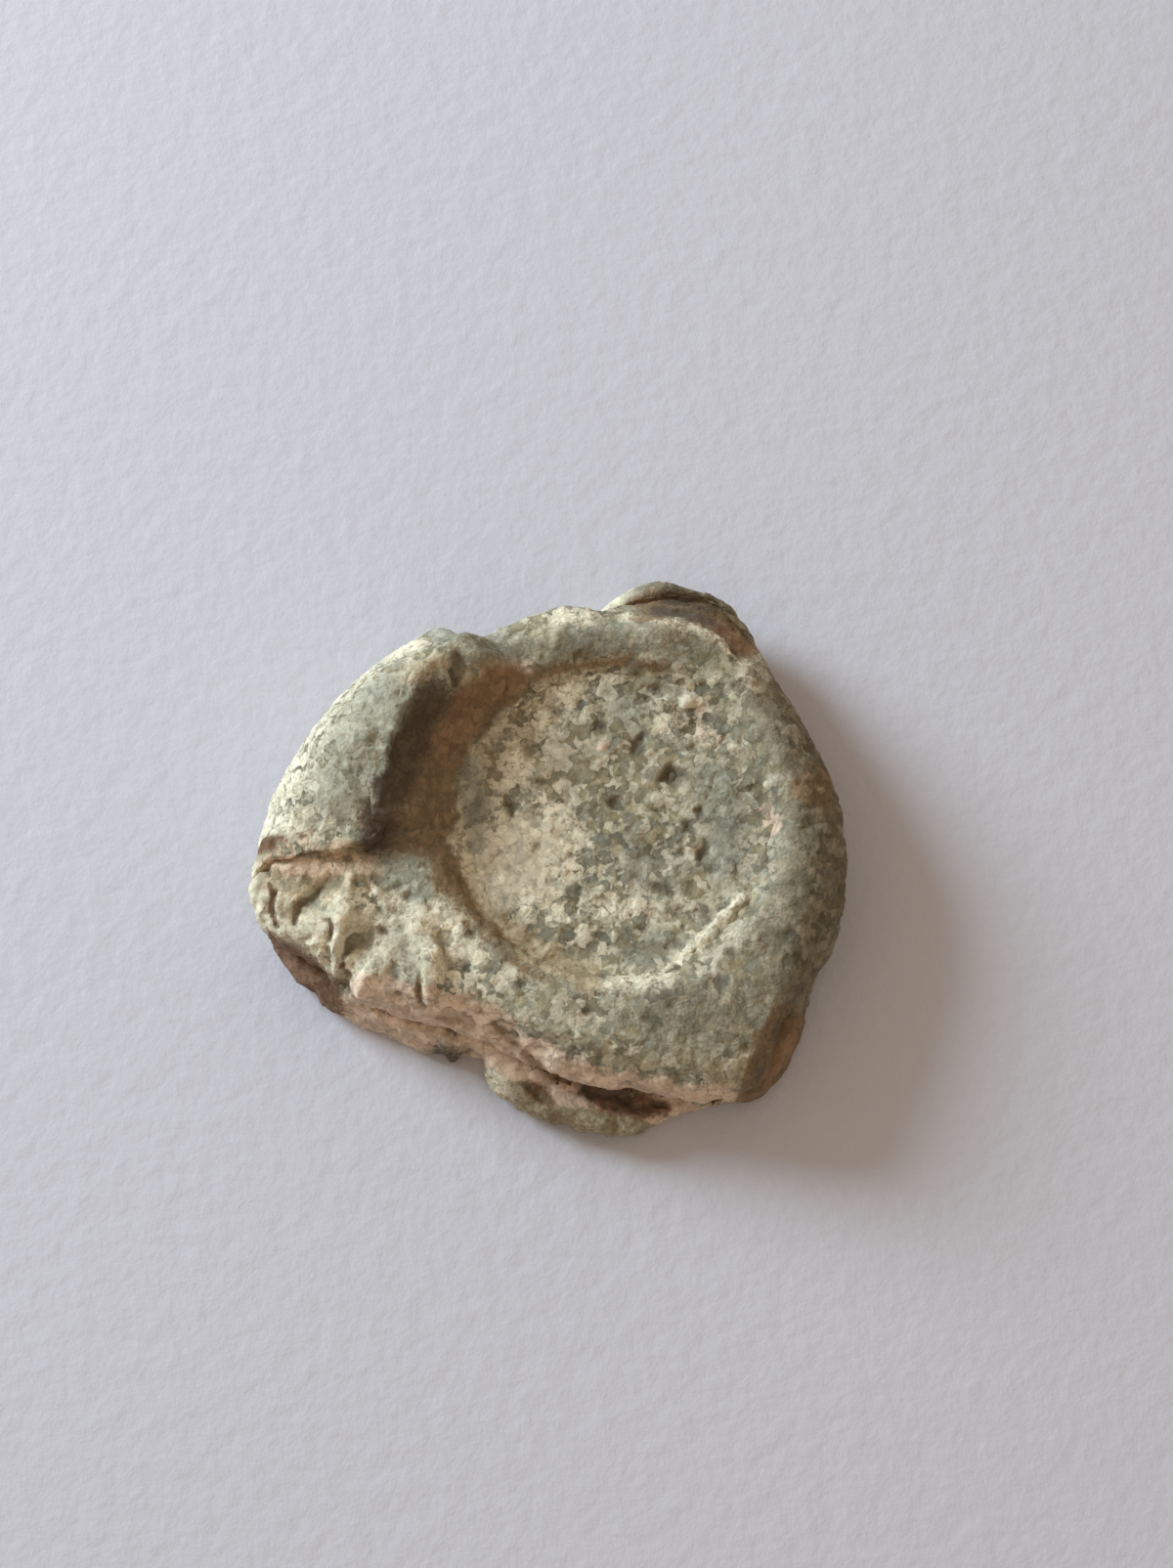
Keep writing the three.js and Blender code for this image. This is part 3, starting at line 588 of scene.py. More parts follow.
# Where each cover lies, as its strength, its half width and its path.
PATCHES = {
    "chalk": [
        # Chalk and painted highlight: cream over the roll's outer flank, its top and its lower end, which
        # face the window.
        (0.85, 1.2, [
            (-13.2, 0.0, 3.4), (-12.5, 2.2, 4.0), (-11.5, 3.9, 4.2), (-10.3, 5.4, 4.2),
            (-9.0, 6.3, 4.2), (-7.8, 6.6, 4.6),
        ]),
        (0.60, 1.5, [(-10.9, 0.9, 5.4), (-10.2, 2.4, 5.7), (-9.0, 4.0, 5.8)]),
        (0.9, 0.7, [(-12.1, -0.4, 4.6), (-10.7, -0.5, 5.0), (-9.8, -0.1, 5.2)]),
        # Painted highlight: cream on the knob's facet, which this light leaves in shade.
        (0.75, 0.5, [(-7.5, 4.8, 5.7), (-6.8, 5.4, 5.2)]),
        (0.9, 1.8, [(-11.8, -3.6, 3.8), (-9.6, -4.6, 4.0), (-7.6, -4.8, 4.0), (-6.2, -4.6, 4.1)]),
        # Chalk and painted highlight on the lobe's left edge, which faces the window.
        (1.0, 0.5, [(-13.1, -2.0, 3.4), (-13.0, -3.2, 3.2), (-12.6, -4.2, 3.0)]),
        (0.7, 0.6, [(-0.4, -6.3, 3.9), (0.8, -6.2, 3.9), (1.5, -6.2, 4.0)]),
        (1.3, 1.5, [(-4.9, -2.4, 3.4), (-4.4, -1.8, 3.3), (-3.5, -1.6, 3.3), (-2.8, -0.8, 3.3)]),
        (0.60, 1.0, [(-3.0, 4.6, 3.3), (-1.6, 5.0, 3.3), (-0.6, 5.2, 3.3)]),
        (0.50, 0.8, [(1.6, 4.6, 3.3), (3.0, 3.6, 3.3)]),
        (0.6, 0.7, [(-3.6, 1.9, 3.3), (-3.0, 3.4, 3.3), (-2.2, 4.2, 3.3)]),
        (0.5, 0.9, [(-1.6, -3.4, 3.3), (0.6, -3.2, 3.3)]),
        (1.0, 0.6, [(-1.2, 8.8, 2.0), (-0.1, 9.1, 2.0), (0.4, 9.3, 2.2)]),
        (1.2, 0.32, [
            (0.6, 8.1, 3.9), (2.0, 7.8, 3.9), (3.0, 7.5, 3.9), (4.1, 6.9, 3.9), (4.9, 6.2, 3.9),
        ]),
        (0.5, 0.8, [(-2.4, 7.6, 4.0), (-1.2, 7.8, 4.0)]),
        (0.5, 0.9, [(5.2, 5.0, 4.0), (6.2, 3.4, 4.0)]),
        (0.9, 0.40, [(-4.4, -9.2, 1.2), (-3.7, -9.8, 1.2), (-3.0, -10.3, 0.8)]),
        (0.9, 0.40, [(-1.4, -10.8, 1.3), (-0.2, -10.6, 1.4), (0.7, -10.8, 1.3)]),
    ],
    "grey": [
        (0.9, 0.35, [(-7.5, 3.8, 6.0), (-8.0, 2.6, 6.0), (-8.2, 1.2, 6.0), (-8.5, 0.0, 5.8)]),
        (0.75, 1.3, [(-9.8, 0.6, 5.6), (-9.2, 2.6, 6.0), (-8.4, 3.9, 6.0)]),
        (1.0, 0.6, [(-7.0, 7.8, 3.6), (-6.4, 7.3, 4.1), (-6.0, 6.7, 4.7)]),
        (0.9, 0.40, [(-5.3, 2.2, 3.3), (-5.1, 1.0, 3.3), (-5.1, -0.1, 3.3), (-5.0, -0.9, 3.3)]),
        (0.9, 0.7, [(3.6, 1.6, 3.3), (4.2, 0.1, 3.3), (4.0, -1.4, 3.3)]),
        (0.6, 0.6, [(0.9, -1.0, 3.3), (1.0, -2.0, 3.3)]),
        (0.7, 0.5, [(0.6, -5.0, 3.3), (1.8, -4.6, 3.3)]),
        (1.0, 0.6, [(-8.4, -1.9, 4.2), (-7.6, -2.2, 4.2), (-7.0, -2.7, 4.2)]),
        (0.6, 0.8, [(0.2, 4.8, 3.3), (0.6, 4.4, 3.3)]),
        (0.6, 1.0, [(-4.0, 6.8, 4.2), (-5.0, 6.6, 4.4)]),
    ],
    "tan": [
        (1.0, 0.8, [(-12.3, -2.0, 4.1), (-11.0, -2.2, 4.2), (-9.4, -2.0, 4.3)]),
        (0.5, 0.9, [(-11.6, -3.2, 3.9), (-10.4, -3.4, 4.1)]),
        (0.75, 0.45, [(-7.4, 4.8, 5.6), (-6.8, 5.3, 5.0), (-6.4, 5.3, 5.6)]),
        (1.3, 0.60, [
            (-5.7, -2.6, 3.6), (-4.9, -3.5, 3.6), (-3.9, -4.3, 3.5), (-2.9, -5.0, 3.5),
            (-1.9, -5.5, 3.5), (-1.0, -6.0, 3.8),
        ]),
        (0.8, 0.45, [(6.7, 1.9, 4.1), (7.5, 2.0, 3.7)]),
        (0.75, 0.8, [(-3.2, -10.0, 1.2), (-1.4, -10.6, 1.2), (1.6, -10.4, 1.2)]),
        (0.5, 0.8, [(2.0, 7.4, 4.1), (3.4, 6.8, 4.1)]),
    ],
    "grime": [
        # Painted shade: the right rim, which slopes away from the window, darkened with grime.
        (1.2, 1.9, [
            (7.4, 4.2, 3.6), (8.2, 1.4, 3.4), (8.5, -2.0, 3.2), (8.1, -4.0, 3.2), (7.5, -5.6, 3.2),
        ]),
        (0.60, 1.3, [(5.8, -4.4, 4.1), (6.2, -6.2, 4.0), (4.6, -7.8, 4.0), (1.6, -7.8, 4.0)]),
        # Painted shade: the right side wall below it, darkened with grime.
        (0.9, 0.5, [(8.5, -3.6, 2.6), (8.2, -4.8, 2.6), (7.6, -6.0, 2.6)]),
        (0.6, 0.7, [
            (-4.6, 6.1, 4.8), (-2.8, 6.5, 4.1), (-1.0, 6.8, 4.1), (1.2, 6.8, 4.1), (3.4, 6.4, 4.0),
        ]),
        # Painted shade: the flange's outer edge at the top, darkened with grime.
        (1.1, 0.34, [
            (0.4, 9.6, 3.0), (1.5, 9.7, 3.0), (2.7, 9.5, 3.0), (3.9, 8.9, 3.0), (5.0, 8.1, 2.8),
            (5.6, 7.3, 2.6),
        ]),
        (0.55, 1.0, [(-3.6, -10.2, 1.2), (0.0, -10.8, 1.2), (2.0, -10.4, 1.2)]),
        (0.5, 0.9, [(-8.0, -4.4, 4.1), (-7.4, -5.8, 4.0)]),
    ],
    "blush": [
        (0.62, 0.6, [(-12.2, -1.7, 4.1), (-11.0, -1.8, 4.2), (-9.4, -1.7, 4.3)]),
        (0.5, 0.7, [(2.6, 3.9, 3.3), (3.4, 3.6, 3.3)]),
        (0.7, 0.30, [(-4.0, 5.5, 4.3), (-3.0, 5.7, 4.0)]),
        (0.8, 0.30, [(5.6, 0.6, 3.6), (5.8, -0.2, 3.8)]),
    ],
    "soil": [
        (1.1, 0.34, [
            (0.9, 8.95, 3.3), (1.8, 9.0, 3.5), (2.6, 8.85, 3.5), (3.5, 8.4, 3.4), (4.4, 7.7, 3.2),
        ]),
        (1.0, 0.5, [(6.9, 1.1, 4.1), (7.6, 0.8, 3.9), (7.8, 1.5, 3.6)]),
        # Soil and painted shade: a thin brown line along the rim's inner top edge, which faces away from
        # the window.
        (0.62, 0.20, [
            (-3.3, 5.3, 3.9), (-2.1, 5.8, 3.6), (-1.0, 6.05, 3.6), (0.6, 6.1, 3.7), (1.8, 5.9, 3.7),
        ]),
        (0.66, 0.25, [
            (-5.3, -4.0, 4.1), (-4.7, -4.5, 4.1), (-3.9, -5.3, 4.0), (-3.0, -5.9, 4.1),
            (-2.0, -6.4, 4.1),
        ]),
    ],
    "ochre": [
        (0.45, 0.30, [(-4.0, 5.3, 4.2), (-3.1, 5.5, 3.8), (-2.1, 5.8, 3.6)]),
        (0.95, 0.55, [(-4.0, 5.3, 4.3), (-4.9, 4.6, 4.5), (-5.7, 3.7, 4.5), (-6.2, 2.6, 4.4)]),
        (0.9, 0.35, [(0.9, 9.0, 2.4), (1.5, 9.1, 2.4)]),
        (0.9, 0.40, [(3.7, 7.8, 3.0), (4.3, 7.4, 2.9), (4.8, 6.9, 2.8)]),
        (0.8, 0.6, [(6.7, -7.8, 2.7), (6.1, -8.5, 2.6), (5.8, -9.1, 2.2)]),
    ],
    "rust": [
        (1.1, 0.28, [
            (-12.8, -1.1, 4.0), (-12.1, -1.0, 3.8), (-11.4, -0.9, 3.6), (-10.7, -0.8, 3.6),
            (-9.9, -0.6, 3.8), (-9.3, -0.5, 4.0), (-8.8, -0.6, 4.3),
        ]),
        (0.95, 0.75, [(-12.4, -4.4, 1.4), (-11.6, -5.0, 1.6), (-10.9, -5.6, 1.6), (-10.4, -6.1, 1.4)]),
    ],
    "stain": [
        (1.0, 0.45, [(-6.2, -8.2, 0.9), (-5.7, -8.4, 0.9)]),
        (0.85, 0.36, [(2.0, 9.0, 2.7), (2.9, 8.8, 2.7), (3.4, 8.5, 2.7)]),
        (0.90, 0.44, [(1.8, 8.3, 3.2), (2.6, 8.2, 3.2), (3.4, 7.9, 3.1)]),
        # Stain and painted shade along the inner edge of the broken face at the lower right.
        (0.60, 0.40, [(6.7, -6.9, 3.5), (6.05, -7.6, 3.4), (5.5, -8.4, 3.2), (5.2, -9.6, 3.0)]),
        # Painted shade: a dark brown band down the roll's inner side, which faces away from the window.
        (1.2, 0.55, [
            (-6.5, 4.3, 5.4), (-7.0, 3.3, 5.6), (-7.4, 2.2, 5.6), (-7.8, 1.2, 5.6), (-8.2, 0.4, 5.4),
            (-8.5, -0.3, 4.8), (-8.8, -0.9, 4.3),
        ]),
    ],
}

# The outer edge of the recess's brown flank, as headings and radii, and the radius of its inner edge.
FLANK_EDGE = [
    (118, 5.9), (122, 6.6), (126, 7.0), (138, 7.1), (144, 7.3), (148, 7.9), (151, 8.2), (161, 8.1),
    (169, 8.2), (175, 8.6), (180, 9.0), (183, 9.3), (187, 9.3), (190, 7.9), (193, 7.1), (208, 6.8),
    (226, 6.5), (240, 5.9),
]
FLANK_INNER = 5.9

# The inner edge of the broken brown face at the lower right, as headings and radii.
BROKEN_EDGE = [(294, 10.9), (297, 10.2), (301, 9.6), (308, 9.2), (313, 9.3), (317, 9.7), (320, 10.4)]


# A radius past every point, for headings that a table doesn't reach.
FAR = 99


def along(table, heading):
    """A radius read from a table of headings and radii, and FAR past its ends."""
    headings, radii = zip(*table)
    return np.interp(heading, headings, radii, left=FAR, right=FAR)


def patches(points, table, shake, taper=0.0):
    """How strongly each point is covered, from 0 to 1. A taper narrows each patch toward its ends."""
    cover = np.zeros(len(points))
    for strength, width, path in table:
        away, place = from_path(points, path)
        away = np.maximum(0, away + shake * min(1, width))
        width = width * (1 - taper + taper * np.sin(math.pi * place))
        cover = np.maximum(cover, strength * np.exp(-((away / width) ** 2) * 0.7))
    return cover


def torn_cover(points):
    """Where the lead is torn: the slope down from the front disc's near edge, and the wall under it."""
    radius, heading = polar(points)
    beyond = radius - front_edge(heading) + 0.25 * wobble(points, 0.9, 33) + 0.12 * wobble(points, 0.35, 34)
    upper = np.interp(heading, (216, 240, 262, 285), (-1.25, -1.1, -0.75, -0.45))
    wall = smooth(beyond, upper, upper + 0.35) * (1 - smooth(beyond, 0.5, 0.9))
    return wall * within(heading, 212, 294, 5)


def nub_cover(points, shake):
    """The brown slope down to the flange at the top right."""
    radius, heading = polar(points)
    beyond = radius - front_edge(heading) + 0.5 * shake
    return smooth(beyond, -1.15, -0.85) * (1 - smooth(beyond, 0.45, 0.75)) * within(heading, 52, 84, 4)


def flank_cover(points, shake):
    """The brown earth on the recess's flank, from the roll's crest down to the field."""
    radius, heading = polar(points)
    outer = along(FLANK_EDGE, heading)
    reached = (outer < FAR) * smooth(radius + 0.9 * shake, FLANK_INNER - 0.3, FLANK_INNER + 0.3)
    thin = 0.84 + 0.30 * wobble(points, 0.8, 35)
    return thin * reached * (1 - smooth(radius + 0.9 * shake, outer - 0.4, outer + 0.4))


def broken_cover(points, shake):
    """The brown broken face at the lower right corner."""
    radius, heading = polar(points)
    edge = along(BROKEN_EDGE, heading)
    return (0.9 + 0.3 * wobble(points, 0.7, 36)) * smooth(radius + 0.7 * shake, edge - 0.1, edge + 0.3)


def paint(piece, lines):
    """Stores on the mesh where each cover lies, and how hollow the surface is."""
    mesh = piece.data
    points, normals = points_of(mesh), normals_of(mesh)
    edges = edges_of(mesh)
    hollow = ((eased(points, edges, 14) - points) * normals).sum(1)
    wide = ((eased(points, edges, 60) - points) * normals).sum(1)
    shake = 0.35 * wobble(points, 0.8, 5) + 0.2 * wobble(points, 0.3, 6)
    for name, *_ in COVERS:
        worked = [(0.95, width, path) for _, width, cover, path in lines if cover == name]
        values = patches(points, PATCHES[name], shake)
        values = np.maximum(values, patches(points, worked, 0.8 * shake, 0.5))
        if name == "blush":
            values = np.maximum(values, torn_cover(points))
        if name == "soil":
            for cover in (flank_cover, broken_cover, nub_cover):
                values = np.maximum(values, cover(points, shake))
        store(mesh, name, values)
    store(mesh, "hollow", 0.5 + 6 * hollow + 2 * wide)


def store(mesh, name, values):
    layer = mesh.attributes.new(name, "FLOAT", "POINT")
    layer.data.foreach_set("value", np.clip(values, 0, 1).astype(np.float32))


# ---------------------------------------------------------------- materials


def ragged_group():
    """A soft cover made ragged by the crust's flakes."""
    value = "NodeSocketFloat"
    tree, given, out = group("Ragged Edge", "ShaderNodeTree", [
        ("Cover", value, 0.0), ("Grain", value, 0.5), ("Raggedness", value, 0.5), ("Softness", value, 0.15),
    ], [("Cover", value)])
    grain = maths(tree, "SUBTRACT", given["Grain"], 0.5)
    shaken = maths(tree, "MULTIPLY_ADD", grain, given["Raggedness"], given["Cover"])
    low = maths(tree, "SUBTRACT", 0.5, given["Softness"])
    high = maths(tree, "ADD", 0.5, given["Softness"])
    tree.links.new(between(tree, shaken, low, high), out["Cover"])
    return tree


def flakes_group():
    """Flakes of crust with a tone and a hue each, the gaps between them, mottling and fine grain."""
    value = "NodeSocketFloat"
    tree, given, out = group("Crust Flakes", "ShaderNodeTree", [
        ("Vector", "NodeSocketVector", None), ("Flake Size", value, 0.00040),
        ("Mottle Size", value, 0.0026), ("Seed", value, 0.0),
    ], [("Tone", value), ("Hue", value), ("Gap", value), ("Mottle", value), ("Grain", value)])
    size, seed, place = given["Flake Size"], given["Seed"], given["Vector"]
    cells = flake_cells(tree, place, seed, size, 1.0, 1.8)
    parts = add(tree, "ShaderNodeSeparateColor", {0: cells["Color"]}).outputs
    mottle = noise_node(tree, place, given["Mottle Size"], seed, 3, 0.6)
    grain = noise_node(tree, place, maths(tree, "MULTIPLY", size, 0.5), seed, 2, 0.5)
    tree.links.new(parts[0], out["Tone"])
    tree.links.new(parts[1], out["Hue"])
    tree.links.new(between(tree, cells["Distance"], 0.42, 0.68), out["Gap"])
    tree.links.new(between(tree, mottle, 0.3, 0.7), out["Mottle"])
    tree.links.new(between(tree, grain, 0.3, 0.7), out["Grain"])
    return tree


CRUST_TINTS = ("crust", "dark", "olive", "pale")
FINE_FLAKE_SIZE = 0.00024
SPECULAR = 0.2


def patina_group():
    """The colour, roughness and height of corroded lead under its chalk, earth and stains, and under
    painted highlights and painted shade.
    """
    value, tint = "NodeSocketFloat", "NodeSocketColor"
    tree, given, out = group(
        "Lead Patina", "ShaderNodeTree",
        [("Vector", "NodeSocketVector", None), ("Hollow", value, 0.5), ("Seed", value, 0.0)]
        + [(name, tint, (0.5, 0.5, 0.5, 1)) for name in CRUST_TINTS]
        + [(f"{name} cover", value, 0.0) for name, *_ in COVERS]
        + [(f"{name} colour", tint, (0.5, 0.5, 0.5, 1)) for name, *_ in COVERS],
        [("Color", tint), ("Roughness", value), ("Height", value)],
    )
    flakes = shared("Crust Flakes", flakes_group)
    large = placed(tree, flakes, {"Vector": given["Vector"], "Seed": given["Seed"]})
    fine = placed(tree, flakes, {
        "Vector": given["Vector"], "Seed": maths(tree, "ADD", given["Seed"], 5.0),
        "Flake Size": FINE_FLAKE_SIZE,
    })
    tone = maths(tree, "MULTIPLY_ADD", fine["Tone"], 0.25, maths(tree, "MULTIPLY", large["Tone"], 0.75))
    drift = noise_node(tree, given["Vector"], 0.005, maths(tree, "ADD", given["Seed"], 3.0), 3, 0.6)
    yellow = maths(tree, "MULTIPLY_ADD", large["Hue"], 0.5, maths(tree, "SUBTRACT", drift, 0.25))
    shade = mixed(tree, between(tree, yellow, 0.3, 0.7), given["crust"], given["olive"])
    lightness = maths(tree, "MULTIPLY_ADD", large["Mottle"], 0.35, tone)
    shade = mixed(tree, between(tree, lightness, 0.60, 0.95, 0.0, 0.9), shade, given["pale"])
    shade = mixed(tree, between(tree, lightness, 0.52, 0.22, 0.0, 0.6), shade, given["dark"])
    shade = mixed(tree, between(tree, given["Hollow"], 0.42, 0.12, 0.0, 0.4), shade, given["pale"])
    ragged = maths(tree, "MULTIPLY_ADD", fine["Grain"], 0.35, maths(tree, "MULTIPLY", tone, 0.65))
    for name, _, raggedness, softness, share in COVERS:
        cover = placed(tree, shared("Ragged Edge", ragged_group), {
            "Cover": given[f"{name} cover"], "Grain": ragged,
            "Raggedness": raggedness, "Softness": softness,
        })[0]
        shade = mixed(tree, maths(tree, "MULTIPLY", cover, share), shade, given[f"{name} colour"])
    shade = mixed(tree, between(tree, given["Hollow"], 0.55, 0.95, 0.0, 0.55), shade, given["dark"])
    gaps = between(tree, large["Gap"], 0.0, 1.0, 1.0, 0.84)
    level = maths(tree, "MULTIPLY", between(tree, tone, 0.1, 0.9, 0.80, 1.14), gaps)
    level = maths(tree, "MULTIPLY", level, between(tree, fine["Grain"], 0.0, 1.0, 0.95, 1.05))
    grey = add(tree, "ShaderNodeCombineColor", {0: level, 1: level, 2: level}).outputs[0]
    tree.links.new(mixed(tree, 1.0, shade, grey, "MULTIPLY"), out["Color"])
    tree.links.new(between(tree, tone, 0.0, 1.0, 0.95, 0.75), out["Roughness"])
    tree.links.new(maths(tree, "MULTIPLY_ADD", fine["Grain"], 0.25, tone), out["Height"])
    return tree


def attribute(tree, name):
    return add(tree, "ShaderNodeAttribute", attribute_name=name).outputs["Fac"]


def empty_material(name):
    """A new material, its node tree without nodes, and the object's own coordinates in it."""
    material = bpy.data.materials.new(name)
    material.use_nodes = True
    tree = material.node_tree
    tree.nodes.clear()
    return material, tree, add(tree, "ShaderNodeTexCoord").outputs["Object"]


def surfaced(tree, shade, roughness, height, depth):
    """Ends a material with a dull surface, its bumps so many metres deep."""
    relief = add(tree, "ShaderNodeBump", {"Height": height, "Strength": 1.0, "Distance": depth})
    surface = add(tree, "ShaderNodeBsdfPrincipled", {
        "Base Color": shade, "Roughness": roughness, "Normal": relief.outputs[0],
        "Metallic": 0.0, "Specular IOR Level": SPECULAR,
    })
    add(tree, "ShaderNodeOutputMaterial", {"Surface": surface.outputs[0]})


def lead_material(name, seed):
    """Corroded lead. Each piece has its own seed, so that no two are mottled alike."""
    material, tree, place = empty_material(name)
    colours = bpy.context.scene.seal.colours
    values = {"Vector": place, "Hollow": attribute(tree, "hollow"), "Seed": seed}
    values.update({tint: getattr(colours, tint) for tint in CRUST_TINTS})
    for cover, tint, *_ in COVERS:
        values[f"{cover} cover"] = attribute(tree, cover)
        values[f"{cover} colour"] = getattr(colours, tint)
    patina = placed(tree, shared("Lead Patina", patina_group), values)
    surfaced(tree, patina["Color"], patina["Roughness"], patina["Height"], 0.00005)
    return material


def cloth_material(name):
    """Stained wool with earth in its weave."""
    material, tree, place = empty_material(name)
    settings = bpy.context.scene.seal
    scale = 1 / (math.pi * settings.cloth.weave)
    values = {"Vector": place, "Scale": scale, "Distortion": 1.5, "Detail": 2.0}
    warp, weft = [
        add(tree, "ShaderNodeTexWave", values, bands_direction=axis).outputs["Fac"] for axis in "XY"
    ]
    weave = maths(tree, "MAXIMUM", warp, weft)
    earth = noise_node(tree, place, 0.0005, 2.0, 4, 0.6)
    shade = mixed(tree, weave, settings.colours.rust, settings.colours.cloth)
    shade = mixed(tree, between(tree, earth, 0.42, 0.62), shade, settings.colours.soil)
    surfaced(tree, shade, 0.95, maths(tree, "MULTIPLY_ADD", earth, 0.8, weave), 0.00008)
    return material


def paper_material(name):
    """Plain paper with a fine soft grain."""
    material, tree, place = empty_material(name)
    grain = noise_node(tree, place, 0.0009, 1.0, 3, 0.6)
    surfaced(tree, bpy.context.scene.seal.stage.paper, 0.9, grain, 0.00007)
    return material


# ---------------------------------------------------------------- the pieces

# The rivet and the strip are remeshed finer than the discs by this.
FINER = 0.8

# How far from the axis the worn remains lie, in millimetres.
REMAINS_RADIUS = 5.1

def finish_lead(piece, node, slot, lines, seed, strength=1.0):
    """Works, roughens and colours a remeshed piece, and puts it in the place of its CAD node."""
    mesh = piece.data
    put_points(mesh, eased(points_of(mesh), edges_of(mesh), 3))
    put_points(mesh, work_lines(points_of(mesh), normals_of(mesh), lines))
    roughened(piece, lead_material(slot, seed), seed, strength)
    points = points_of(piece.data)
    points[:, 2] = np.maximum(points[:, 2], 0)
    put_points(piece.data, points)
    paint(piece, lines)
    piece.data.shade_smooth()
    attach(piece, BODY)
    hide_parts(node)


def spread(points, push):
    """Moves each point away from the rivet's axis by so many millimetres, or toward it below 0."""
    radius, _ = polar(points)
    points[:, :2] *= (1 + push / np.maximum(radius, 1))[:, None]


def squeezed(heading):
    """Where the two discs' edges were pressed together, from 0 to 1."""
    return np.maximum(within(heading, 298, 330, 5), within(heading, 192, 252, 6))


def corner(radius, heading):
    """How far the broken corner at the lower right is drawn in, in millimetres."""
    return 0.3 * within(heading, 303, 326, 5) * smooth(radius, 7.5, 9.5)


class SEAL_OT_back_disc(bpy.types.Operator):
    """Make the lower disc, torn along its near edge"""

    bl_idname = "seal.back_disc"
    bl_label = "Back Disc"

    def execute(self, context):
        piece = cad_copy("back_disc_lead", "back_disc")
        points = points_of(piece.data)
        radius, heading = polar(points)
        spread(points, 0.35 * within(heading, 100, 184, 6) * (radius > DISC_RADIUS - 1))
        put_points(piece.data, points)
        remeshed(piece, context.scene.seal.crust.voxel)
        points = points_of(piece.data)
        radius, heading = polar(points)
        ragged = 0.25 * wobble(points, 1.2, 21) + 0.18 * wobble(points, 0.5, 22)
        torn = ragged * within(heading, 205, 300, 10) * smooth(radius, 7.2, 9.0)
        spread(points, torn - corner(radius, heading))
        lifted = squeezed(heading) * smooth(radius - front_edge(heading), -1.2, -0.2)
        points[:, 2] += 0.35 * lifted * smooth(points[:, 2], 0.9, 1.4)
        put_points(piece.data, points)
        finish_lead(piece, "back_disc", "back_lead", BACK_LINES, SEED + 1)
        return {"FINISHED"}


class SEAL_OT_front_disc(bpy.types.Operator):
    """Make the upper disc with its worn rim, the die's flank and the wrinkled shoulder"""

    bl_idname = "seal.front_disc"
    bl_label = "Front Disc"

    def execute(self, context):
        piece = cad_copy("front_disc_lead", "front_disc")
        points = points_of(piece.data)
        radius, heading = polar(points)
        spread(points, 0.4 * within(heading, 96, 184, 5) * smooth(radius, 7.6, 8.3))
        put_points(piece.data, points)
        remeshed(piece, context.scene.seal.crust.voxel)
        points = points_of(piece.data)
        radius, heading = polar(points)
        beyond = radius - front_edge(heading)
        ragged = wobble(points, 0.9, 31) + 0.5 * wobble(points, 0.36, 32)
        spread(points, 0.26 * ragged * within(heading, 200, 300, 8) * smooth(beyond, -1.2, -0.2))
        radius, heading = polar(points)
        beyond = radius - front_edge(heading)
        nub = within(heading, 52, 90, 7)
        spread(points, 0.5 * nub * smooth(beyond, -0.9, -0.1) - corner(radius, heading))
        points[:, 2] -= 1.1 * nub * smooth(beyond, -1.3, 0.1) * smooth(points[:, 2], 2.4, 3.4)
        lowered = squeezed(heading) * smooth(beyond, -0.4, -0.1)
        points[:, 2] -= 0.5 * lowered * (1 - smooth(points[:, 2], 2.1, 3.0))
        put_points(piece.data, points)
        finish_lead(piece, "front_disc", "front_lead", ROLL_LINES + SHOULDER_LINES + RIM_LINES, SEED + 2)
        return {"FINISHED"}


def remains_tree():
    """Geometry nodes that scatter worn lumps and strokes by rule over the struck field."""
    value = "NodeSocketFloat"
    tree, given, out = group("Worn Remains", "GeometryNodeTree", [
        ("Geometry", "NodeSocketGeometry", None), ("Remains", "NodeSocketInt", 100),
        ("Field Radius", value, 0.005), ("Length", value, 0.0005), ("Width", value, 0.0003),
        ("Height", value, 0.0001), ("Field Height", value, 0.003), ("Seed", "NodeSocketInt", 0),
        ("Material", "NodeSocketMaterial", None),
    ], [("Geometry", "NodeSocketGeometry")])
    disc = add(tree, "GeometryNodeMeshCircle", {"Radius": given["Field Radius"]}, fill_type="NGON")
    lift = add(tree, "ShaderNodeCombineXYZ", {"Z": given["Field Height"]}).outputs[0]
    raised = add(tree, "GeometryNodeTransform", {"Geometry": disc.outputs[0], "Translation": lift})
    area = maths(tree, "MULTIPLY", maths(tree, "POWER", given["Field Radius"], 2.0), math.pi)
    spots = add(tree, "GeometryNodeDistributePointsOnFaces", {
        "Mesh": raised.outputs[0], "Density": maths(tree, "DIVIDE", given["Remains"], area),
        "Seed": given["Seed"],
    })
    turn = scattered(tree, "FLOAT_VECTOR", (0, 0, 0), (0, 0, 2 * math.pi), given["Seed"])
    ball = add(tree, "GeometryNodeMeshIcoSphere", {"Radius": 0.5, "Subdivisions": 2})
    size = add(tree, "ShaderNodeCombineXYZ", {
        "X": given["Length"], "Y": given["Width"], "Z": maths(tree, "MULTIPLY", given["Height"], 2.0),
    }).outputs[0]
    vary = scattered(tree, "FLOAT_VECTOR", (0.5, 0.5, 0.5), (1.6, 1.5, 1.6), given["Seed"])
    scale = add(tree, "ShaderNodeVectorMath", {0: size, 1: vary}, operation="MULTIPLY").outputs[0]
    lumps = add(tree, "GeometryNodeInstanceOnPoints", {
        "Points": spots.outputs[0], "Instance": ball.outputs[0], "Rotation": turn, "Scale": scale,
    })
    joined = add(tree, "GeometryNodeJoinGeometry")
    tree.links.new(given["Geometry"], joined.inputs[0])
    tree.links.new(lumps.outputs[0], joined.inputs[0])
    end_geometry(tree, joined.outputs[0], given["Material"], out)
    return tree


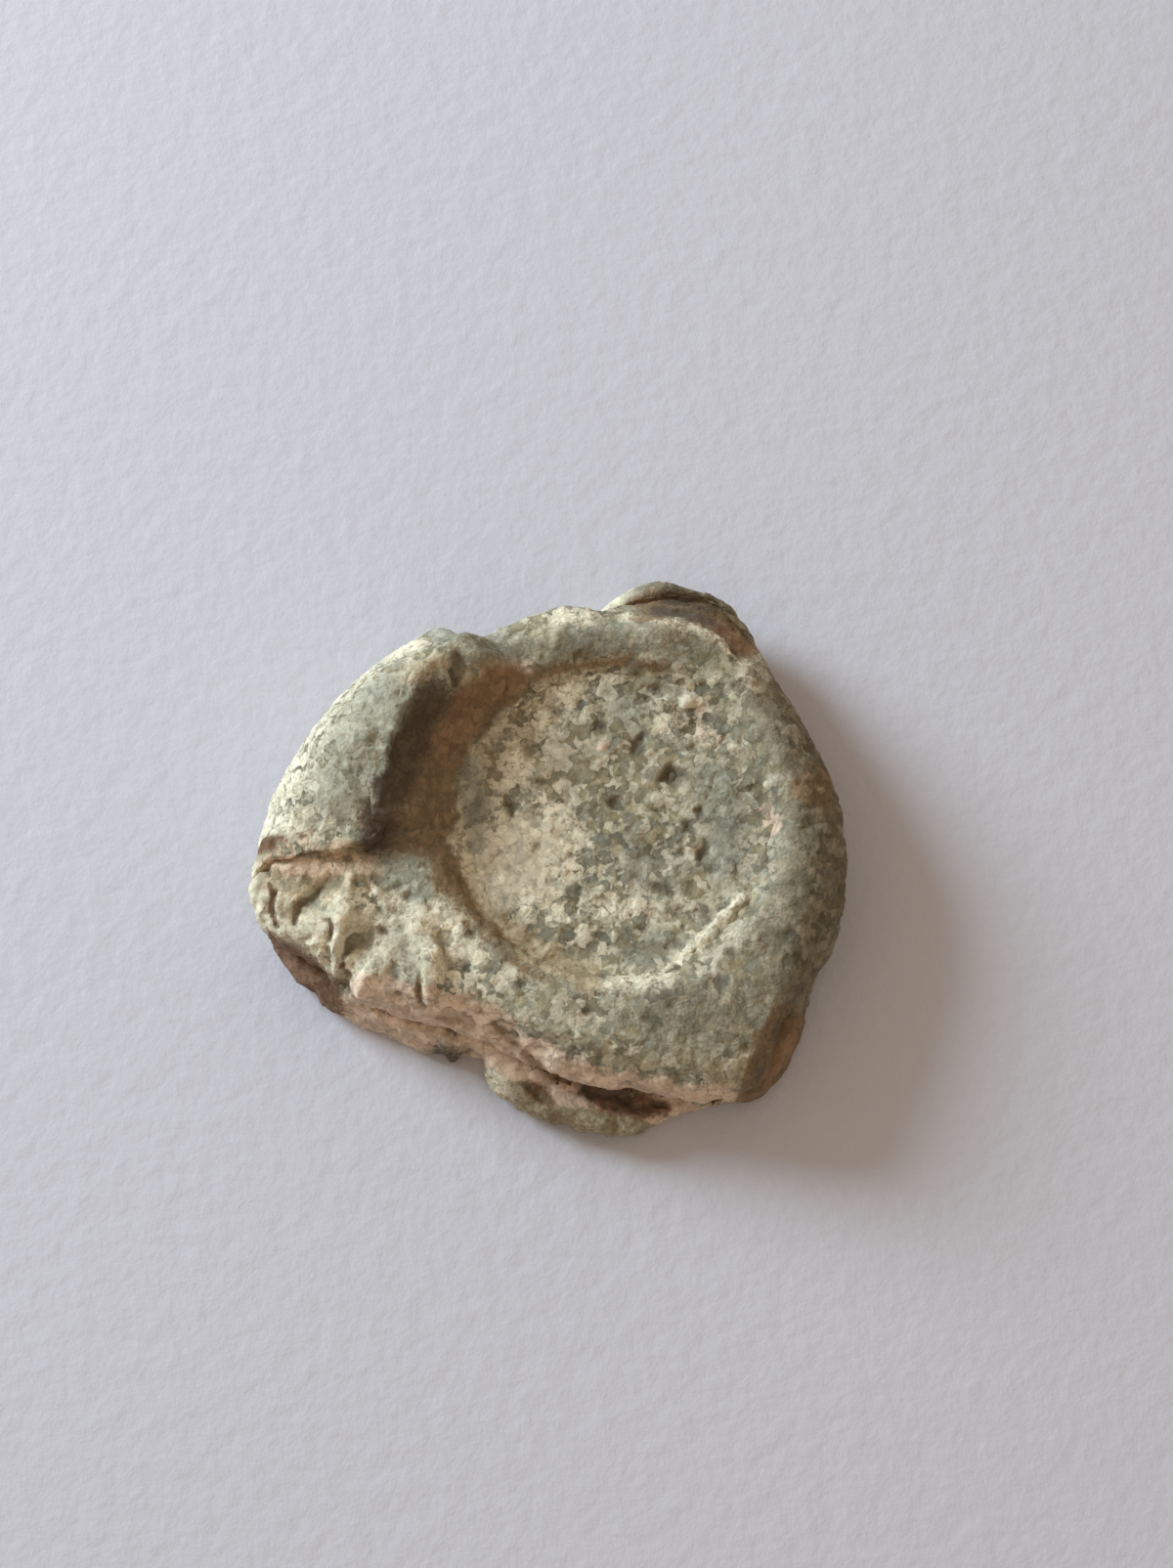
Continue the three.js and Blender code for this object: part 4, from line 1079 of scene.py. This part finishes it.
class SEAL_OT_rivet_head(bpy.types.Operator):
    """Make the rivet, whose spread head carries the worn struck field"""

    bl_idname = "seal.rivet_head"
    bl_label = "Rivet Head"

    def execute(self, context):
        settings = context.scene.seal
        piece = cad_copy("rivet_lead", "rivet")
        points = points_of(piece.data)
        raised = points[:, 2] - FIELD_TOP
        points[:, 2] -= 0.6 * raised * (raised > 0)
        put_points(piece.data, points)
        modifier = piece.modifiers.new("Remains", "NODES")
        modifier.node_group = remains_tree()
        set_inputs(modifier, {
            "Remains": settings.field.remains, "Field Radius": REMAINS_RADIUS * MM,
            "Length": settings.field.length, "Width": settings.field.width,
            "Height": settings.field.height, "Field Height": FIELD_TOP * MM, "Seed": SEED,
        })
        applied(piece)
        points = points_of(piece.data)
        radius, _ = polar(points)
        spread(points, 0.5 * smooth(radius, 4.9, 5.5))
        put_points(piece.data, points)
        remeshed(piece, settings.crust.voxel * FINER)
        points = points_of(piece.data)
        radius, _ = polar(points)
        points[:, 2] += 0.15 * smooth(radius, 5.0, 5.8) * (points[:, 2] > 3)
        put_points(piece.data, points)
        finish_lead(piece, "rivet", "struck_lead", on_field(FIELD_LINES), SEED + 3, 0.8)
        return {"FINISHED"}


class SEAL_OT_folded_strip(bpy.types.Operator):
    """Make the folded strip, the thick roll on the left"""

    bl_idname = "seal.folded_strip"
    bl_label = "Folded Strip"

    def execute(self, context):
        voxel = context.scene.seal.crust.voxel * FINER
        piece = remeshed(cad_copy("connecting_strip_lead", "connecting_strip"), voxel)
        mesh = piece.data
        points = eased(points_of(mesh), edges_of(mesh), 14)
        radius, heading = polar(points)
        spread(points, -0.45 * within(heading, 128, 184, 4) * (1 - smooth(radius, 8.6, 9.8)))
        end = smooth(1.2 - points[:, 1], 0, 1.2)
        ragged = 0.25 * wobble(points, 0.8, 45) * end
        points[:, 1] -= 0.8 * end * (1 - 0.35 * smooth(-points[:, 0], 11.2, 12.6)) + ragged
        points[:, 0] += 0.2 * smooth(-points[:, 1], 0.2, 1.2) * smooth(-points[:, 0], 12.0, 13.2)
        points[:, 2] -= 0.45 * smooth(0.9 - points[:, 1], 0, 1.6) * np.maximum(0, points[:, 2] - 4.4)
        put_points(mesh, points)
        finish_lead(piece, "connecting_strip", "folded_lead", ROLL_LINES, SEED + 4)
        return {"FINISHED"}


# How fast a loose thread waves to and fro along its length, in radians per metre.
THREAD_WAVES = 5000.0


def thread_tree():
    """Geometry nodes that set short loose thread ends over the cloth's edge."""
    value = "NodeSocketFloat"
    tree, given, out = group("Loose Threads", "GeometryNodeTree", [
        ("Geometry", "NodeSocketGeometry", None), ("Threads", "NodeSocketInt", 100),
        ("Length", value, 0.001), ("Radius", value, 0.00005), ("Seed", "NodeSocketInt", 0),
        ("Material", "NodeSocketMaterial", None),
    ], [("Geometry", "NodeSocketGeometry")])
    normal = add(tree, "GeometryNodeInputNormal").outputs[0]
    steep = add(tree, "ShaderNodeSeparateXYZ", {0: normal}).outputs["Z"]
    level = maths(tree, "ABSOLUTE", steep)
    side = add(tree, "FunctionNodeCompare", {0: level, 1: 0.4}, operation="LESS_THAN").outputs[0]
    face = add(tree, "GeometryNodeInputMeshFaceArea").outputs[0]
    area = add(
        tree, "GeometryNodeAttributeStatistic",
        {"Geometry": given["Geometry"], "Selection": side, "Attribute": face}, domain="FACE",
    )
    torn = add(tree, "GeometryNodeInputNamedAttribute", {"Name": "torn"}, data_type="FLOAT")
    threads = maths(tree, "MULTIPLY", given["Threads"], torn.outputs["Attribute"])
    spots = add(tree, "GeometryNodeDistributePointsOnFaces", {
        "Mesh": given["Geometry"], "Selection": side, "Seed": given["Seed"],
        "Density": maths(tree, "DIVIDE", threads, area.outputs["Sum"]),
    })
    thread = add(tree, "GeometryNodeMeshCylinder", {
        "Vertices": 5, "Side Segments": 4, "Radius": given["Radius"], "Depth": given["Length"],
    })
    place = add(tree, "GeometryNodeInputPosition").outputs[0]
    height = add(tree, "ShaderNodeSeparateXYZ", {0: place}).outputs["Z"]
    wave = maths(tree, "SINE", maths(tree, "MULTIPLY", height, THREAD_WAVES))
    aside = add(tree, "ShaderNodeCombineXYZ", {"X": maths(tree, "MULTIPLY", wave, given["Radius"])})
    bowed = add(tree, "GeometryNodeSetPosition", {
        "Geometry": thread.outputs[0], "Offset": aside.outputs[0],
    })
    turned = add(tree, "FunctionNodeAlignRotationToVector", {"Vector": spots.outputs["Normal"]}, axis="Z")
    tilt = scattered(tree, "FLOAT_VECTOR", (-1.2, -1.2, -1.2), (1.2, 1.2, 1.2), given["Seed"])
    spun = add(tree, "FunctionNodeRotateRotation", {0: turned.outputs[0], 1: tilt})
    loose = add(tree, "GeometryNodeInstanceOnPoints", {
        "Points": spots.outputs[0], "Instance": bowed.outputs[0], "Rotation": spun.outputs[0],
        "Scale": scattered(tree, "FLOAT", 0.5, 1.2, given["Seed"]),
    })
    end_geometry(tree, loose.outputs[0], given["Material"], out)
    return tree


class SEAL_OT_cloth_remains(bpy.types.Operator):
    """Make the ragged, stained cloth between the discs, and its loose threads"""

    bl_idname = "seal.cloth_remains"
    bl_label = "Cloth Remains"

    def execute(self, context):
        settings = context.scene.seal.cloth
        cloth = remeshed(cad_copy("cloth_sheet", "cloth_remnant"), settings.mesh)
        points = points_of(cloth.data)
        radius, heading = polar(points)
        fray = settings.fray / MM
        torn = np.maximum(within(heading, 228, 292, 5), within(heading, 48, 90, 5))
        uneven = 0.6 + 0.9 * wobble(points, 1.0, 41) + 0.6 * wobble(points, 0.35, 42)
        spread(points, fray * uneven * smooth(radius, 6.5, 7.8) * (0.2 + 0.8 * torn))
        points[:, 2] += 0.08 * wobble(points, 0.9, 43)
        put_points(cloth.data, points)
        store(cloth.data, "torn", torn)
        material = cloth_material("stained_cloth")
        cloth.data.materials.append(material)
        cloth.data.shade_smooth()
        threads = new_object("cloth_threads", cloth.data.copy())
        modifier = threads.modifiers.new("Threads", "NODES")
        modifier.node_group = thread_tree()
        set_inputs(modifier, {
            "Threads": settings.threads, "Length": settings.thread_length,
            "Radius": settings.thread_radius, "Seed": SEED, "Material": material,
        })
        applied(threads)
        for piece in (cloth, threads):
            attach(piece, BODY)
        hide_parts("cloth_remnant")
        return {"FINISHED"}


# The stage: the paper's half width, the sky's and the window's colours, where the window is seen
# from the seal, its height above the paper in degrees, its distance and its width. The picture's
# height is measured at the seal, and the camera aims at a point given in millimetres.
PAPER_REACH = 0.4
SKY_COLOUR = (1.0, 0.82, 0.66, 1)
WINDOW_COLOUR = (0.72, 0.87, 1.0)
WINDOW_TOWARD = (-0.86, 0.51, 0)
WINDOW_ELEVATION = 26
WINDOW_DISTANCE = 0.26
WINDOW_WIDTH = 0.12
PICTURE_HEIGHT = 57.744
SENSOR_WIDTH = 36
CAMERA_AIM = (-0.97, 1.60, 3.0)


def aimed(context, name, data, place, away):
    """A lamp or camera at a place, facing against the direction away."""
    made = bpy.data.objects.new(name, data)
    context.scene.collection.objects.link(made)
    made.location = place
    made.rotation_euler = (-away).to_track_quat("-Z", "Y").to_euler()
    return made


class SEAL_OT_stage(bpy.types.Operator):
    """Make the paper, the lights and the camera"""

    bl_idname = "seal.stage"
    bl_label = "Stage"

    def execute(self, context):
        stage = context.scene.seal.stage
        mesh = bpy.data.meshes.new("paper")
        corners = [(x * PAPER_REACH, y * PAPER_REACH, 0) for x, y in ((-1, -1), (1, -1), (1, 1), (-1, 1))]
        mesh.from_pydata(corners, [], [(0, 1, 2, 3)])
        mesh.materials.append(paper_material("paper"))
        new_object("paper", mesh)

        world = bpy.data.worlds.new("sky")
        world.use_nodes = True
        background = world.node_tree.nodes["Background"]
        background.inputs["Color"].default_value = SKY_COLOUR
        background.inputs["Strength"].default_value = stage.fill
        context.scene.world = world

        lamp = bpy.data.lights.new("window", "AREA")
        lamp.shape = "DISK"
        lamp.size = WINDOW_WIDTH
        lamp.energy = stage.key
        lamp.color = WINDOW_COLOUR
        height = math.radians(WINDOW_ELEVATION)
        toward = Vector(WINDOW_TOWARD).normalized() * math.cos(height) + Vector((0, 0, math.sin(height)))
        aimed(context, "window", lamp, toward * WINDOW_DISTANCE, toward)

        camera = bpy.data.cameras.new("camera")
        camera.sensor_width = SENSOR_WIDTH
        camera.lens = SENSOR_WIDTH * stage.distance / (PICTURE_HEIGHT * MM)
        camera.clip_start, camera.clip_end = 0.01, 2
        back = Vector((0, -math.cos(stage.elevation), math.sin(stage.elevation)))
        place = Vector(CAMERA_AIM) * MM + back * stage.distance
        context.scene.camera = aimed(context, "camera", camera, place, back)
        context.scene.view_settings.view_transform = "Standard"
        return {"FINISHED"}


class SEAL_PT_panel(bpy.types.Panel):
    """The seal's settings and pieces"""

    bl_idname = "SEAL_PT_panel"
    bl_label = "Lead Cloth Seal"
    bl_space_type = "VIEW_3D"
    bl_region_type = "UI"
    bl_category = "Seal"

    def draw(self, context):
        seal = context.scene.seal
        for title, settings in (
            ("Crust", seal.crust), ("Struck Field", seal.field), ("Cloth", seal.cloth),
            ("Colours", seal.colours), ("Stage", seal.stage),
        ):
            box = self.layout.box()
            box.label(text=title)
            for name in settings.bl_rna.properties.keys():
                if name not in ("rna_type", "name"):
                    box.prop(settings, name)
        column = self.layout.column()
        for operator in OPERATORS:
            column.operator(operator.bl_idname)


SETTINGS = (
    SealCrustSettings, SealFieldSettings, SealClothSettings, SealColourSettings, SealStageSettings,
    SealSettings,
)
OPERATORS = (
    SEAL_OT_back_disc, SEAL_OT_cloth_remains, SEAL_OT_front_disc, SEAL_OT_rivet_head,
    SEAL_OT_folded_strip, SEAL_OT_stage,
)


def register():
    for cls in (*SETTINGS, *OPERATORS, SEAL_PT_panel):
        bpy.utils.register_class(cls)
    bpy.types.Scene.seal = bpy.props.PointerProperty(type=SealSettings)


def unregister():
    del bpy.types.Scene.seal
    for cls in reversed((*SETTINGS, *OPERATORS, SEAL_PT_panel)):
        bpy.utils.unregister_class(cls)


def main():
    register()
    bpy.ops.seal.back_disc()
    bpy.ops.seal.cloth_remains()
    bpy.ops.seal.front_disc()
    bpy.ops.seal.rivet_head()
    bpy.ops.seal.folded_strip()
    bpy.ops.seal.stage()


if __name__ == "__main__":
    main()
